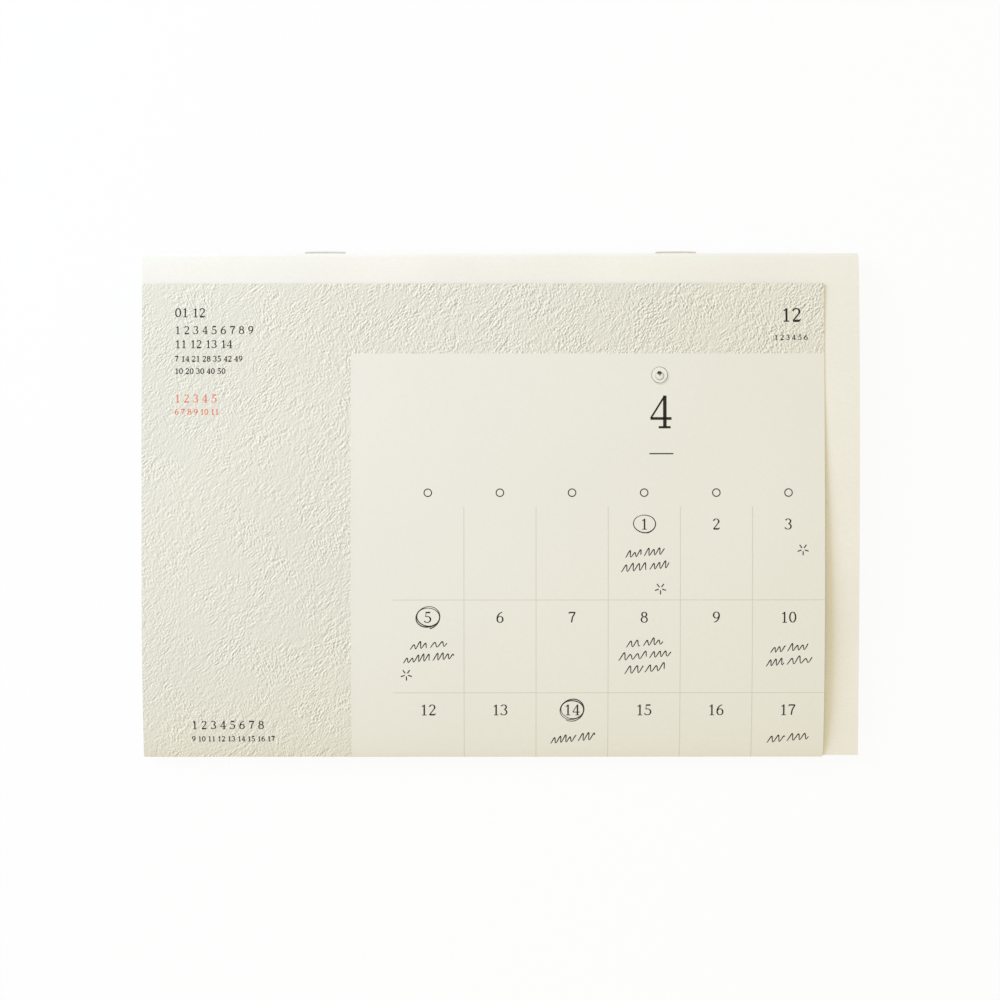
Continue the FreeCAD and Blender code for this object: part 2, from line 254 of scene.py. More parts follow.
@dataclass(frozen=True)
class SheetProfile:
    """Side view of the printed sheet: over the front leaf, round its open edge, and a flap.

    A running value numbers the places along it. It is s along the front, and goes on beyond.

    Attributes:
        leaf: the calendar that it lies on.
        paper, ink: thickness of the sheet and of its pale field.
        top: where it starts, as a distance from the fold.
        touch: where it touches the leaf.
        top_lift: how far its top edge stands off.
        lift: how far it stands off below the touch, with lift_rise and lift_fall as exponents.
        clearance: gap between the sheet and the leaf.
        bend_lead: how far before the open edge the front leaves its curve.
        bend_s, bend_z: middle of the bend round the open edge.
        bend_start, bend_end: angles of that bend in degrees.
        flap: how far the flap reaches back behind the front leaf.
        cockle: depth of the shallow waves in the loose sheet.
        cockle_grow, cockle_fade: how far they take to grow, and to fade before the bend.
        cockle_turns: where the waves start, across and along, in radians.
        easing_run, bend_run, flap_run: shares of the running value.
    """

    leaf: SideProfile = SideProfile()
    paper: float = 0.12
    ink: float = 0.04
    top: float = 9.2
    touch: float = 34.0
    top_lift: float = 0.35
    lift: float = 1.9
    lift_rise: float = 1.8
    lift_fall: float = 0.7
    clearance: float = 0.06
    bend_lead: float = 2.2
    bend_s: float = 147.7
    bend_z: float = 3.25
    bend_inside: float = 0.16
    bend_start: float = 107.5
    bend_end: float = 266.0
    flap: float = 22.0
    cockle: float = 0.10
    cockle_wave: float = 83.0
    cockle_start: float = 46.0
    cockle_grow: float = 30.0
    cockle_fade: float = 22.0
    cockle_turns: tuple[float, float] = (1.0, 0.4)
    front_points: int = 400
    easing_points: int = 12
    bend_points: int = 60
    flap_points: int = 60
    easing_run: float = 2.2
    bend_run: float = 0.8
    flap_run: float = 19.8

    @property
    def front_end(self) -> float:
        """Where the front leaves its curve for the bend."""
        return self.leaf.closed_height - self.bend_lead

    def under(self, s: Array) -> Array:
        """Underside of the front: leaf + clearance + lift.

        The lift is top_lift ((touch-s)/(touch-top))^2 above the touch, and lift hump(u) below.

        Args:
            s: distances from the fold.

        Returns:
            Heights.
        """
        above = self.top_lift * ((self.touch - s) / (self.touch - self.top)) ** 2
        u = (s - self.touch) / (self.leaf.closed_height - self.touch)
        below = self.lift * hump(u, self.lift_rise, self.lift_fall)
        return self.leaf.front(s) + self.clearance + np.where(s < self.touch, above, below)

    def line(self, depth: float) -> tuple[Array, Array]:
        """The whole side view at a depth over the inside of the sheet.

        Args:
            depth: 0 on the inside, the paper's thickness on the printed side, more on the ink.

        Returns:
            A running value for each row, which is s along the front, and rows of (s, z).
        """
        s = np.linspace(self.top, self.front_end, self.front_points)
        front = np.stack((s, self.under(s) + depth), axis=1)
        turn = np.radians(np.linspace(self.bend_start, self.bend_end, self.bend_points))
        radius = self.bend_inside + depth
        bend = np.stack(
            (self.bend_s - radius * np.cos(turn), self.bend_z + radius * np.sin(turn)), axis=1
        )
        s = np.linspace(self.front_end, self.leaf.closed_height - self.flap, self.flap_points)
        behind = self.leaf.front(s) - self.leaf.cover_paper - self.clearance - depth
        flap = np.stack((s, behind), axis=1)
        count = self.easing_points
        into = easing(front[-1], front[-1] - front[-2], bend[0], bend[1] - bend[0], count)
        out = easing(bend[-1], bend[-1] - bend[-2], flap[0], flap[1] - flap[0], count)
        rows = np.concatenate((front, into[1:-1], bend, out[1:-1], flap))
        ease = np.linspace(0.0, self.easing_run, count)[1:-1]
        bend_at = self.front_end + self.easing_run
        flap_at = bend_at + self.bend_run + self.easing_run
        run = np.concatenate(
            (
                front[:, 0],
                self.front_end + ease,
                bend_at + np.linspace(0.0, self.bend_run, self.bend_points),
                bend_at + self.bend_run + ease,
                flap_at + np.linspace(0.0, self.flap_run, self.flap_points),
            )
        )
        return run, rows

    @property
    def ink_end(self) -> float:
        """The running value where the print ends, at the outermost line of the bend."""
        share = (180.0 - self.bend_start) / (self.bend_end - self.bend_start)
        return self.front_end + self.easing_run + self.bend_run * share

    def dips(self, x: Array, s: Array) -> Array:
        """Shallow cockles of the loose sheet: -cockle w (1 + sin(2 pi x/L + p) cos(pi s/L + q))/2.

        L is their wave, p and q are their turns, and w is a window that is 0 where the sheet
        touches the leaf and at its bend.

        Args:
            x: sideways places.
            s: distances from the fold.

        Returns:
            How far the sheet lies lower, as numbers that aren't above 0.
        """
        window = smooth_step((s - self.cockle_start) / self.cockle_grow)
        window = window * smooth_step((self.front_end - s) / self.cockle_fade)
        across, along = self.cockle_turns
        wave = np.sin(2 * np.pi * x / self.cockle_wave + across)
        wave = wave * np.cos(np.pi * s / self.cockle_wave + along)
        return -self.cockle * window * (1.0 + wave) / 2

    def place(self, x: Array, run: Array, depth: float) -> Array:
        """Points of the sheet.

        Args:
            x: sideways places.
            run: running values along the side view.
            depth: distance out from the inside of the sheet.

        Returns:
            Rows of (x, y, z) in millimetres.
        """
        table, rows = self.line(depth)
        s = np.interp(run, table, rows[:, 0])
        z = np.interp(run, table, rows[:, 1]) + np.where(run < self.front_end, self.dips(x, s), 0.0)
        return np.stack((x, self.leaf.y(s), z), axis=1)

    def film(self, flat: Array, faces: Array, low: float, high: float) -> tuple[Array, Array, int]:
        """A closed film between two depths, over rows of (x, running value) and their faces."""
        outer, inner = (self.place(flat[:, 0], flat[:, 1], depth) for depth in (high, low))
        return thickened(faces, outer, inner)


# Meshes


def flat_grid(across: Array, along: Array) -> Shape:
    """A flat grid over two rows of values.

    Args:
        across: first value of each column.
        along: second value of each row.

    Returns:
        Rows of (across, along), and four corners a face.
    """
    first, second = np.meshgrid(across, along, indexing="xy")
    points = np.stack((first.ravel(), second.ravel()), axis=1)
    return points, grid_faces(len(along), len(across))


def grid_faces(rows: int, columns: int) -> Array:
    """Faces of a grid of points that are stored row by row.

    Args:
        rows: how many rows of points.
        columns: how many points a row.

    Returns:
        Four corners a face.
    """
    index = np.arange(rows * columns).reshape(rows, columns)
    corners = (index[:-1, :-1], index[:-1, 1:], index[1:, 1:], index[1:, :-1])
    return np.stack(corners, axis=-1).reshape(-1, 4)


def joined(parts: list[Shape]) -> Shape:
    """Several flat meshes as one.

    Args:
        parts: points and faces of each.

    Returns:
        All points, and all faces with their numbers moved on.
    """
    starts = np.cumsum([0] + [len(points) for points, _ in parts[:-1]])
    faces = [faces + start for start, (_, faces) in zip(starts, parts)]
    return np.concatenate([points for points, _ in parts]), np.concatenate(faces)


def punched_grid(
    across: Array,
    along: Array,
    middle: tuple[float, float],
    radius: float,
    half: float,
    steps: int = 4,
) -> Shape:
    """A flat grid with a round hole.

    The cells of a square round the hole are taken out. Its outline is carried inwards in even
    steps to the circle, as P(t) = (1-t) square + t circle at the same angle.

    Args:
        across: column values, with edges of the square among them.
        along: row values, with edges of the square among them.
        middle: centre of the hole.
        radius: its radius.
        half: half the side of the square.
        steps: how many rows of faces lie between the square and the circle.

    Returns:
        Points and faces.
    """
    centre = np.array(middle)
    points, faces = flat_grid(across, along)
    middles = points[faces].mean(axis=1) - centre
    faces = faces[~np.all(np.abs(middles) < half, axis=1)]
    reach = np.max(np.abs(points - centre), axis=1)
    rim = np.flatnonzero((reach < half + NEAR) & (reach > half - NEAR))
    away = points[rim] - centre
    angle = np.arctan2(away[:, 1], away[:, 0])
    order = np.argsort(angle)
    rim, angle = rim[order], angle[order]
    circle = centre + radius * np.stack((np.cos(angle), np.sin(angle)), axis=1)
    share = np.linspace(0.0, 1.0, steps + 1)[1:, None, None]
    rings = ((1.0 - share) * points[rim] + share * circle).reshape(-1, 2)
    index = np.concatenate((rim, len(points) + np.arange(len(rings)))).reshape(steps + 1, -1)
    after = np.roll(index, -1, axis=1)
    collar = np.stack((index[:-1], after[:-1], after[1:], index[1:]), axis=-1).reshape(-1, 4)
    points = np.concatenate((points, rings))
    faces = np.concatenate((faces, collar))
    used, flat = np.unique(faces, return_inverse=True)
    return points[used], flat.reshape(faces.shape)


def disc(radius: float, count: int = 10) -> Shape:
    """A disc of squares: (u, v) -> radius (u sqrt(1 - v^2/2), v sqrt(1 - u^2/2)), |u|, |v| <= 1.

    Args:
        radius: of the disc.
        count: points along each side of the square that it is made from.

    Returns:
        Points and faces.
    """
    side = np.linspace(-1.0, 1.0, count)
    points, faces = flat_grid(side, side)
    u, v = points.T
    round_points = np.stack((u * np.sqrt(1 - v * v / 2), v * np.sqrt(1 - u * u / 2)), axis=1)
    return radius * round_points, faces


def thickened(faces: Array, outer: Array, inner: Array) -> tuple[Array, Array, int]:
    """A closed sheet between two layers of points that share their faces.

    Each edge that only one face uses gets a wall. A directed edge of the outline is one whose
    reverse no face has.

    Args:
        faces: four corners a face.
        outer: points of the outer layer.
        inner: the same points on the inner layer.

    Returns:
        Points, faces that point outwards, and how many of the first faces are the outer layer.
    """
    count = len(outer)
    start, end = faces.ravel(), np.roll(faces, -1, axis=1).ravel()
    alone = ~np.isin(start * count + end, end * count + start)
    start, end = start[alone], end[alone]
    walls = np.stack((end, start, start + count, end + count), axis=1)
    points = np.concatenate((outer, inner))
    quads = np.concatenate((faces, faces[:, ::-1] + count, walls))
    a, b, c, d = (points[quads[:, i]] for i in range(4))
    volume = np.sum(np.einsum("ij,ij->i", a, np.cross(b, c) + np.cross(c, d)))
    if volume < 0:
        quads = quads[:, ::-1]
    return points, quads, len(faces)


def make_piece(
    name: str,
    points: Array,
    quads: Array,
    materials: list[bpy.types.Material],
    printed: int = 0,
    faces: Faces = Faces.ALL,
) -> bpy.types.Object:
    """A Blender object at the origin with its place in its mesh.

    Args:
        name: the piece's name.
        points: places in millimetres.
        quads: four corners a face.
        materials: the print, then the bare paper if only the outer faces are printed.
        printed: how many of the first faces are printed.
        faces: which faces carry the print.

    Returns:
        The object.
    """
    mesh = bpy.data.meshes.new(name)
    mesh.from_pydata((points * MM).tolist(), [], quads.tolist())
    for material in materials:
        mesh.materials.append(material)
    if faces is Faces.OUTER_ONLY:
        index = np.where(np.arange(len(quads)) < printed, 0, 1)
        mesh.polygons.foreach_set("material_index", index)
    mesh.shade_smooth()
    mesh.set_sharp_from_angle(angle=SHARP_ANGLE)
    mesh.update()
    piece = bpy.data.objects.new(name, mesh)
    bpy.context.scene.collection.objects.link(piece)
    return piece


# Finishes


def join(out: Any, into: bpy.types.NodeSocket) -> None:
    """Links a socket to another one, or sets a number or a colour on it.

    Args:
        out: a socket, a number or a colour.
        into: the socket that takes it.
    """
    if isinstance(out, bpy.types.NodeSocket):
        into.id_data.links.new(out, into)
    else:
        into.default_value = out


def add_node(
    tree: bpy.types.NodeTree, kind: str, inputs: dict[str | int, Any] | None = None, **settings: Any
) -> bpy.types.Node:
    """Adds a node and joins its inputs.

    Args:
        tree: the nodes to add to.
        kind: Blender's name of the node.
        inputs: what each input takes, under its name or number.
        settings: the node's properties.

    Returns:
        The node.
    """
    made = tree.nodes.new(kind)
    for key, value in settings.items():
        setattr(made, key, value)
    for key, value in (inputs or {}).items():
        join(value, made.inputs[key])
    return made


class Wiring:
    """The nodes of one material. Its methods add nodes and return the socket of their result."""

    def __init__(self, name: str) -> None:
        """Starts a material with a principled shader.

        Args:
            name: the material's name.
        """
        self.material = bpy.data.materials.new(name)
        self.material.use_nodes = True
        self.tree = self.material.node_tree
        self.shader = self.tree.nodes["Principled BSDF"]

    def place(self, turn: float = 0.0, scale: tuple[float, float, float] = (1, 1, 1)) -> Any:
        """Object coordinates, first turned about Z and then scaled.

        Args:
            turn: angle in degrees.
            scale: factor along each turned axis.

        Returns:
            The vector's socket.
        """
        place = add_node(self.tree, "ShaderNodeTexCoord").outputs["Object"]
        for name, value in (("Rotation", (0.0, 0.0, math.radians(turn))), ("Scale", scale)):
            inputs = {"Vector": place, name: value}
            place = add_node(self.tree, "ShaderNodeMapping", inputs).outputs["Vector"]
        return place

    def moved(self, vector: Any, step: tuple[float, float, float]) -> Any:
        """A vector moved by a step."""
        inputs = {0: vector, 1: step}
        return add_node(self.tree, "ShaderNodeVectorMath", inputs, operation="ADD").outputs[0]

    def noise(self, vector: Any, detail: float, roughness: float) -> Any:
        """Soft noise from about 0 to 1, whose cells have a size of 1, with finer layers."""
        inputs = {"Vector": vector, "Scale": 1.0, "Detail": detail, "Roughness": roughness}
        return add_node(self.tree, "ShaderNodeTexNoise", inputs).outputs["Fac"]

    def math(self, operation: str, first: Any, second: Any) -> Any:
        """A sum or another operation on two values, under Blender's name of it."""
        inputs = {0: first, 1: second}
        return add_node(self.tree, "ShaderNodeMath", inputs, operation=operation).outputs[0]

    def span(self, value: Any, low: float, high: float, to_low: float, to_high: float) -> Any:
        """A value carried from one range to another and held inside it.

        Args:
            value: the value.
            low: start of the first range.
            high: its end.
            to_low: start of the second range.
            to_high: its end.

        Returns:
            The value's socket.
        """
        names = ("Value", "From Min", "From Max", "To Min", "To Max")
        inputs = dict(zip(names, (value, low, high, to_low, to_high)))
        return add_node(self.tree, "ShaderNodeMapRange", inputs).outputs["Result"]

    def tinted(self, colour: Colour, factor: Any) -> Any:
        """A colour times a value.

        Args:
            colour: the colour.
            factor: the value's socket.

        Returns:
            The colour's socket.
        """
        inputs = {"Factor": 1.0, 6: (*colour, 1.0), 7: factor}
        settings = {"data_type": "RGBA", "blend_type": "MULTIPLY"}
        return add_node(self.tree, "ShaderNodeMix", inputs, **settings).outputs[2]

    def across(self) -> Any:
        """The value of X in object coordinates, in metres."""
        return add_node(self.tree, "ShaderNodeSeparateXYZ", {0: self.place()}).outputs["X"]

    def bump(self, height: Any, distance: float) -> None:
        """Roughens the surface by a height, of which 1 stands for a distance in metres."""
        inputs = {"Strength": 1.0, "Distance": distance, "Height": height}
        self.surface(Normal=add_node(self.tree, "ShaderNodeBump", inputs).outputs["Normal"])

    def surface(self, **inputs: Any) -> None:
        """Sets inputs of the shader; an underscore in a name stands for a space."""
        for name, value in inputs.items():
            join(value, self.shader.inputs[name.replace("_", " ")])

    def matte(self, tone: Any, roughness: float, specular: float) -> bpy.types.Material:
        """The material, with a colour, its roughness and the level of its mirror light."""
        self.surface(Base_Color=tone, Roughness=roughness, Specular_IOR_Level=specular)
        return self.material


@dataclass(frozen=True)
class Cloud:
    """Soft noise over a piece.

    Attributes:
        scale: cells in a metre along each axis, 0 where it doesn't change.
        turn: angle about Z in degrees.
        layers: how many finer layers it adds.
        share: how strong those are.
    """

    scale: tuple[float, float, float]
    turn: float = 0.0
    layers: float = 2.0
    share: float = 0.5

    def value(self, wiring: Wiring) -> Any:
        """The noise as a value's socket."""
        return wiring.noise(wiring.place(self.turn, self.scale), self.layers, self.share)

    def factor(self, wiring: Wiring, low: float, high: float) -> Any:
        """The noise as a factor from low to high."""
        return wiring.span(self.value(wiring), *SOFT, low, high)


@dataclass(frozen=True)
class Paper:
    """Uncoated paper: a matte colour with faint clouds, fibres and tooth.

    Attributes:
        clouds: how much the colour varies over a few centimetres.
        speckle: how much it varies from fibre to fibre.
        tooth: height of the tooth in metres.
        cloud, fibre: the noises of both.
    """

    name: str
    colour: Colour
    clouds: float = 0.025
    speckle: float = 0.03
    tooth: float = 0.00001
    cloud: Cloud = Cloud((34.0, 34.0, 34.0))
    fibre: Cloud = Cloud((700.0, 2300.0, 1500.0), 20.0, 3.0, 0.6)
    roughness: float = 0.92
    specular: float = 0.25

    def make(self) -> bpy.types.Material:
        """Wires the paper.

        Returns:
            The material.
        """
        wiring = Wiring(self.name)
        fibre = self.fibre.value(wiring)
        factor = wiring.math(
            "MULTIPLY",
            self.cloud.factor(wiring, 1.0 - self.clouds, 1.0 + self.clouds / 2),
            wiring.span(fibre, *SOFT, 1.0 - self.speckle, 1.0 + self.speckle / 2),
        )
        wiring.bump(fibre, self.tooth)
        return wiring.matte(wiring.tinted(self.colour, factor), self.roughness, self.specular)


@dataclass(frozen=True)
class PlasterPrint:
    """Paper printed with a field of pale trowelled plaster: short slanting ridges, lit and dark.

    Each set of ridges is drawn as the difference of the same noise at two places, the second one
    a little nearer to the light. Two slants take turns over patches of the field, and here and
    there a few long scratches lie across them. The relief is weaker at the left.

    Attributes:
        slants: directions of the two sets of ridges in degrees from +X.
        scratch_slant: direction of the scratches.
        light_from: direction that the pictured light comes from.
        length, width: size of a ridge along its direction and across, in metres.
        step: distance between the two places in metres.
        layers, layer_share: how many finer layers the ridges have, and how strong those are.
        depth: how strong the light and the dark are.
        patch_depth: share of it in the weakest and in the strongest patch.
        rake: from and to which X the relief grows, and its shares there.
        broad_size, broad_stretch: how many times larger and longer the broad ridges are.
        broad_depth: their share in the relief.
        scratch_stretch: how many times longer than ridges the scratches are.
        scratch_depth: their share of the depth.
        slant_patch, slant_turn: a noise, and its range over which one slant gives way to the other.
        strength_patch, strength_range: a noise, and its range from weak to strong relief.
        scratch_patch, scratch_range: a noise, and its range over which scratches appear.
        cloud: slow changes of the colour.
        limits: least and greatest factor on the colour.
        grain, tooth: the paper's own tooth, and its height in metres.
    """

    name: str = "printed_plaster"
    colour: Colour = (0.768, 0.750, 0.664)
    slants: tuple[float, float] = (50.0, 118.0)
    scratch_slant: float = 38.0
    light_from: float = 150.0
    length: float = 0.00084
    width: float = 0.00060
    step: float = 0.00022
    layers: float = 2.0
    layer_share: float = 0.6
    depth: float = 2.35
    patch_depth: tuple[float, float] = (0.5, 1.5)
    rake: tuple[float, float, float, float] = (-0.09, -0.015, 0.68, 1.13)
    broad_size: float = 2.6
    broad_stretch: float = 1.3
    broad_depth: float = 0.22
    scratch_stretch: float = 4.5
    scratch_depth: float = 0.7
    slant_patch: Cloud = Cloud((70.0, 55.0, 0.0), 31.0, 1.0)
    slant_turn: tuple[float, float] = (0.42, 0.58)
    strength_patch: Cloud = Cloud((85.0, 110.0, 0.0), 12.0)
    strength_range: tuple[float, float] = (0.33, 0.67)
    scratch_patch: Cloud = Cloud((120.0, 190.0, 0.0), 50.0, 1.0)
    scratch_range: tuple[float, float] = (0.57, 0.68)
    cloud: Cloud = Cloud((26.0, 26.0, 0.0), 0.0, 1.0)
    limits: tuple[float, float] = (0.4, 1.3)
    grain: Cloud = Cloud((1600.0, 1600.0, 1600.0))
    tooth: float = 0.000008
    roughness: float = 0.85
    specular: float = 0.3

    def ridges(
        self, wiring: Wiring, slant: float, size: float = 1.0, stretch: float = 1.0
    ) -> Any:
        """The difference of two noises.

        Args:
            wiring: the material's nodes.
            slant: direction of the ridges.
            size: how many times larger than the finest ridges these are.
            stretch: how many times longer for their width.

        Returns:
            A value round 0.
        """
        along, across = 1.0 / (self.length * size * stretch), 1.0 / (self.width * size)
        light = math.radians(self.light_from - slant)
        reach = self.step * size
        here = wiring.place(-slant, (along, across, 0.0))
        step = (reach * math.cos(light) * along, reach * math.sin(light) * across, 0.0)
        near, far = (
            wiring.noise(place, self.layers, self.layer_share)
            for place in (wiring.moved(here, step), here)
        )
        return wiring.math("SUBTRACT", far, near)

    def relief(self, wiring: Wiring) -> Any:
        """The two sets of ridges taking turns, with the broad ones among them.

        Args:
            wiring: the material's nodes.

        Returns:
            A value round 0.
        """
        share = wiring.span(self.slant_patch.value(wiring), *self.slant_turn, 0.0, 1.0)
        first, second = (self.ridges(wiring, slant) for slant in self.slants)
        change = wiring.math("MULTIPLY", share, wiring.math("SUBTRACT", second, first))
        broad = self.ridges(wiring, self.slants[0], self.broad_size, self.broad_stretch)
        broad = wiring.math("MULTIPLY", broad, self.broad_depth)
        return wiring.math("ADD", wiring.math("ADD", first, change), broad)

    def make(self) -> bpy.types.Material:
        """Wires the print.

        Returns:
            The material.
        """
        wiring = Wiring(self.name)
        low, high = (share * self.depth for share in self.patch_depth)
        patch = self.strength_patch.value(wiring)
        strength = wiring.span(patch, *self.strength_range, low, high)
        strength = wiring.math("MULTIPLY", strength, wiring.span(wiring.across(), *self.rake))
        relief = wiring.math("MULTIPLY", self.relief(wiring), strength)
        rare = self.scratch_patch.value(wiring)
        rare = wiring.span(rare, *self.scratch_range, 0.0, self.scratch_depth * self.depth)
        scratch = self.ridges(wiring, self.scratch_slant, 1.0, self.scratch_stretch)
        relief = wiring.math("ADD", relief, wiring.math("MULTIPLY", scratch, rare))
        total = wiring.math("ADD", relief, self.cloud.factor(wiring, 0.99, 1.01))
        factor = wiring.span(total, *self.limits, *self.limits)
        wiring.bump(self.grain.value(wiring), self.tooth)
        return wiring.matte(wiring.tinted(self.colour, factor), self.roughness, self.specular)


@dataclass(frozen=True)
class PalePrint:
    """The pale printed field: nearly plain, with a faint darker edge at its left.

    Attributes:
        left: where the field starts, in metres.
        edge, edge_shade: how far the darker edge reaches, and its factor on the colour.
        unevenness: how much the colour varies up and down.
        tooth: height of the tooth in metres.
    """

    name: str = "pale_print"
    colour: Colour = (0.837, 0.821, 0.752)
    left: float = FIELD_LEFT * MM
    edge: float = 0.0016
    edge_shade: float = 0.985
    unevenness: float = 0.008
    cloud: Cloud = Cloud((22.0, 22.0, 22.0))
    grain: Cloud = Cloud((900.0, 900.0, 900.0))
    tooth: float = 0.000006
    roughness: float = 0.85
    specular: float = 0.3

    def make(self) -> bpy.types.Material:
        """Wires the print.

        Returns:
            The material.
        """
        wiring = Wiring(self.name)
        low, high = 1.0 - self.unevenness, 1.0 + self.unevenness
        grain = self.grain.value(wiring)
        edge = (self.left, self.left + self.edge, self.edge_shade, 1.0)
        factor = wiring.span(wiring.across(), *edge)
        factor = wiring.math("MULTIPLY", factor, self.cloud.factor(wiring, low, high))
        factor = wiring.math("MULTIPLY", factor, wiring.span(grain, *SOFT, low, high))
        wiring.bump(grain, self.tooth)
        return wiring.matte(wiring.tinted(self.colour, factor), self.roughness, self.specular)


@dataclass(frozen=True)
class Ink:
    """Printed ink that thins a little here and there.

    Attributes:
        worn: how much lighter it is where it thins.
        patch, patch_range: a noise, and its range over which it thins.
    """

    name: str
    colour: Colour
    worn: float
    patch: Cloud = Cloud((1300.0, 1300.0, 1300.0), 0.0, 3.0, 0.6)
    patch_range: tuple[float, float] = (0.35, 0.75)
    roughness: float = 0.7
    specular: float = 0.3

    def make(self) -> bpy.types.Material:
        """Wires the ink.

        Returns:
            The material.
        """
        wiring = Wiring(self.name)
        thin = wiring.span(self.patch.value(wiring), *self.patch_range, 1.0, 1.0 + self.worn)
        return wiring.matte(wiring.tinted(self.colour, thin), self.roughness, self.specular)


@dataclass(frozen=True)
class StapleWire:
    """Zinc coated wire: metal with fine drawing marks along it.

    Attributes:
        shades: factors on the colour in and between the marks.
        roughness: least and greatest roughness.
        tooth: height of the marks in metres.
    """

    name: str = "staple_wire"
    colour: Colour = (0.68, 0.655, 0.53)
    marks: Cloud = Cloud((900.0, 9000.0, 9000.0), 0.0, 3.0, 0.6)
    shades: tuple[float, float] = (0.85, 1.05)
    roughness: tuple[float, float] = (0.32, 0.48)
    tooth: float = 0.000004

    def make(self) -> bpy.types.Material:
        """Wires the metal.

        Returns:
            The material.
        """
        wiring = Wiring(self.name)
        marks = self.marks.value(wiring)
        wiring.surface(
            Base_Color=wiring.tinted(self.colour, wiring.span(marks, *SOFT, *self.shades)),
            Roughness=wiring.span(marks, *SOFT, *self.roughness),
            Metallic=1.0,
        )
        wiring.bump(marks, self.tooth)
        return wiring.material


@dataclass(frozen=True)
class Finishes:
    """Every finish of the calendar."""

    cover: Paper = Paper("cover_paper", (0.900, 0.875, 0.804))
    inner: Paper = Paper("inner_paper", (0.900, 0.876, 0.790), speckle=0.02)
    reverse: Paper = Paper("title_paper_reverse", (0.88, 0.86, 0.77), clouds=0.015)
    plaster: PlasterPrint = PlasterPrint()
    pale: PalePrint = PalePrint()
    black: Ink = Ink("black_ink", (0.012, 0.009, 0.006), 0.5)
    grey: Ink = Ink("grey_ink", (0.36, 0.35, 0.30), 0.2)
    hand: Ink = Ink("hand_ink", (0.016, 0.014, 0.012), 1.5)
    orange: Ink = Ink("orange_ink", (0.78, 0.215, 0.115), 0.12)
    rule: Ink = Ink("rule_ink", (0.66, 0.645, 0.57), 0.06)
    glint: Ink = Ink("glint_ink", (0.853, 0.840, 0.768), 0.02)
    haze: Ink = Ink("haze_ink", (0.50, 0.49, 0.43), 0.1)
    shade: Ink = Ink("shade_ink", (0.72, 0.70, 0.63), 0.03)
    wire: StapleWire = StapleWire()

    def make(self) -> dict[str, bpy.types.Material]:
        """Each finish's material under its name here."""
        return {entry.name: getattr(self, entry.name).make() for entry in fields(self)}


# The calendar's own pieces


@dataclass
class Cover:
    """The cover: one sheet folded at the spine, made as two halves that meet on the spine.

    Attributes:
        hole_from_edge: from the open edge to the hole's middle.
        hole_square: half the side of the square of finer faces round the hole.
        hole_margin: least distance from the square to the next row of points.
        crease_angle: place of a crease on the spine's bend, in degrees from the outermost line.
        crease_reach: how far on each side of a crease its two points lie, in degrees.
    """

    finish: bpy.types.Material
    profile: SideProfile = field(default_factory=SideProfile)
    width: float = 210.0
    columns: int = 13
    hole_radius: float = 2.0
    hole_from_edge: float = 8.0
    hole_square: float = 4.0
    hole_columns: int = 9
    hole_margin: float = 0.5
    crease_angle: float = 62.25
    crease_reach: float = 4.0

    def half(self, side: Side) -> bpy.types.Object:
        """Half of the cover, from the middle of the spine to the open edge.

        Args:
            side: front or back; the back is punched.

        Returns:
            The piece.
        """
        outer, inner = (self.profile.cover(side, d) for d in (0.0, self.profile.cover_paper))
        steps = np.linalg.norm(np.diff(outer, axis=0), axis=1)
        run = np.concatenate(((0.0,), np.cumsum(steps)))
        run += self.profile.closed_height - run[-1]
        x = np.linspace(-self.width / 2, self.width / 2, self.columns)
        if side is Side.BACK:
            middle = self.profile.closed_height - self.hole_from_edge
            square = np.linspace(-self.hole_square, self.hole_square, self.hole_columns)
            away = np.abs(run - middle) > self.hole_square + self.hole_margin
            rows = np.sort(np.concatenate((run[away], middle + square)))
            columns = np.sort(np.concatenate((x[np.abs(x) > self.hole_square], square)))
            flat, faces = punched_grid(
                columns, rows, (0.0, middle), self.hole_radius, self.hole_square
            )
        else:
            flat, faces = flat_grid(x, run)
        layers = []
        for rows in (outer, inner):
            s = np.interp(flat[:, 1], run, rows[:, 0])
            z = np.interp(flat[:, 1], run, rows[:, 1])
            layers.append(np.stack((flat[:, 0], self.profile.y(s), z), axis=1))
        points, quads, _ = thickened(faces, *layers)
        return make_piece(f"cover_{side.name.lower()}_sheet", points, quads, [self.finish])

    def crease(self, side: Side, angle: float) -> tuple[float, float, float]:
        """A point of the spine's bend: s = R (1 - cos a), z = Z + R sin a, up or down.

        Args:
            side: front, which is up, or back.
            angle: a in degrees from the outermost line.

        Returns:
            The point in metres.
        """
        turn = math.radians(angle)
        s = self.profile.fold_radius * (1.0 - math.cos(turn))
        z = self.profile.fold_height + side.value * self.profile.fold_radius * math.sin(turn)
        return 0.0, float(self.profile.y(s)) * MM, z * MM

    def build(self) -> None:
        """Makes both halves, each curved round the spine to its leaf; the points at the creases are
        worked out but not used.
        """
        for side, body, node in (
            (Side.FRONT, "front_leaf", "front_cover"),
            (Side.BACK, "back_leaf", "back_cover"),
        ):
            piece = self.half(side)
            self.crease(side, self.crease_angle - self.crease_reach)
            self.crease(side, self.crease_angle + self.crease_reach)
            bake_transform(piece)
            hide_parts(node, "cover_spine")
            log.info("%s: half of the folded cover", piece.name)


@dataclass
class Inside:
    """The inner sheets and the staples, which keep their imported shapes."""

    frame: dict[str, Any]
    paper: bpy.types.Material
    wire: bpy.types.Material

    def build(self) -> None:
        """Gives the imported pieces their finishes."""
        for name, material in (
            ("page_block", self.paper),
            ("staple_left", self.wire),
            ("staple_right", self.wire),
        ):
            node = self.frame["nodes"][name]
            if not node.material_slots:
                node.data.materials.append(material)
            for slot in node.material_slots:
                slot.material = material
            log.info("%s: packed shape with %s", name, material.name)


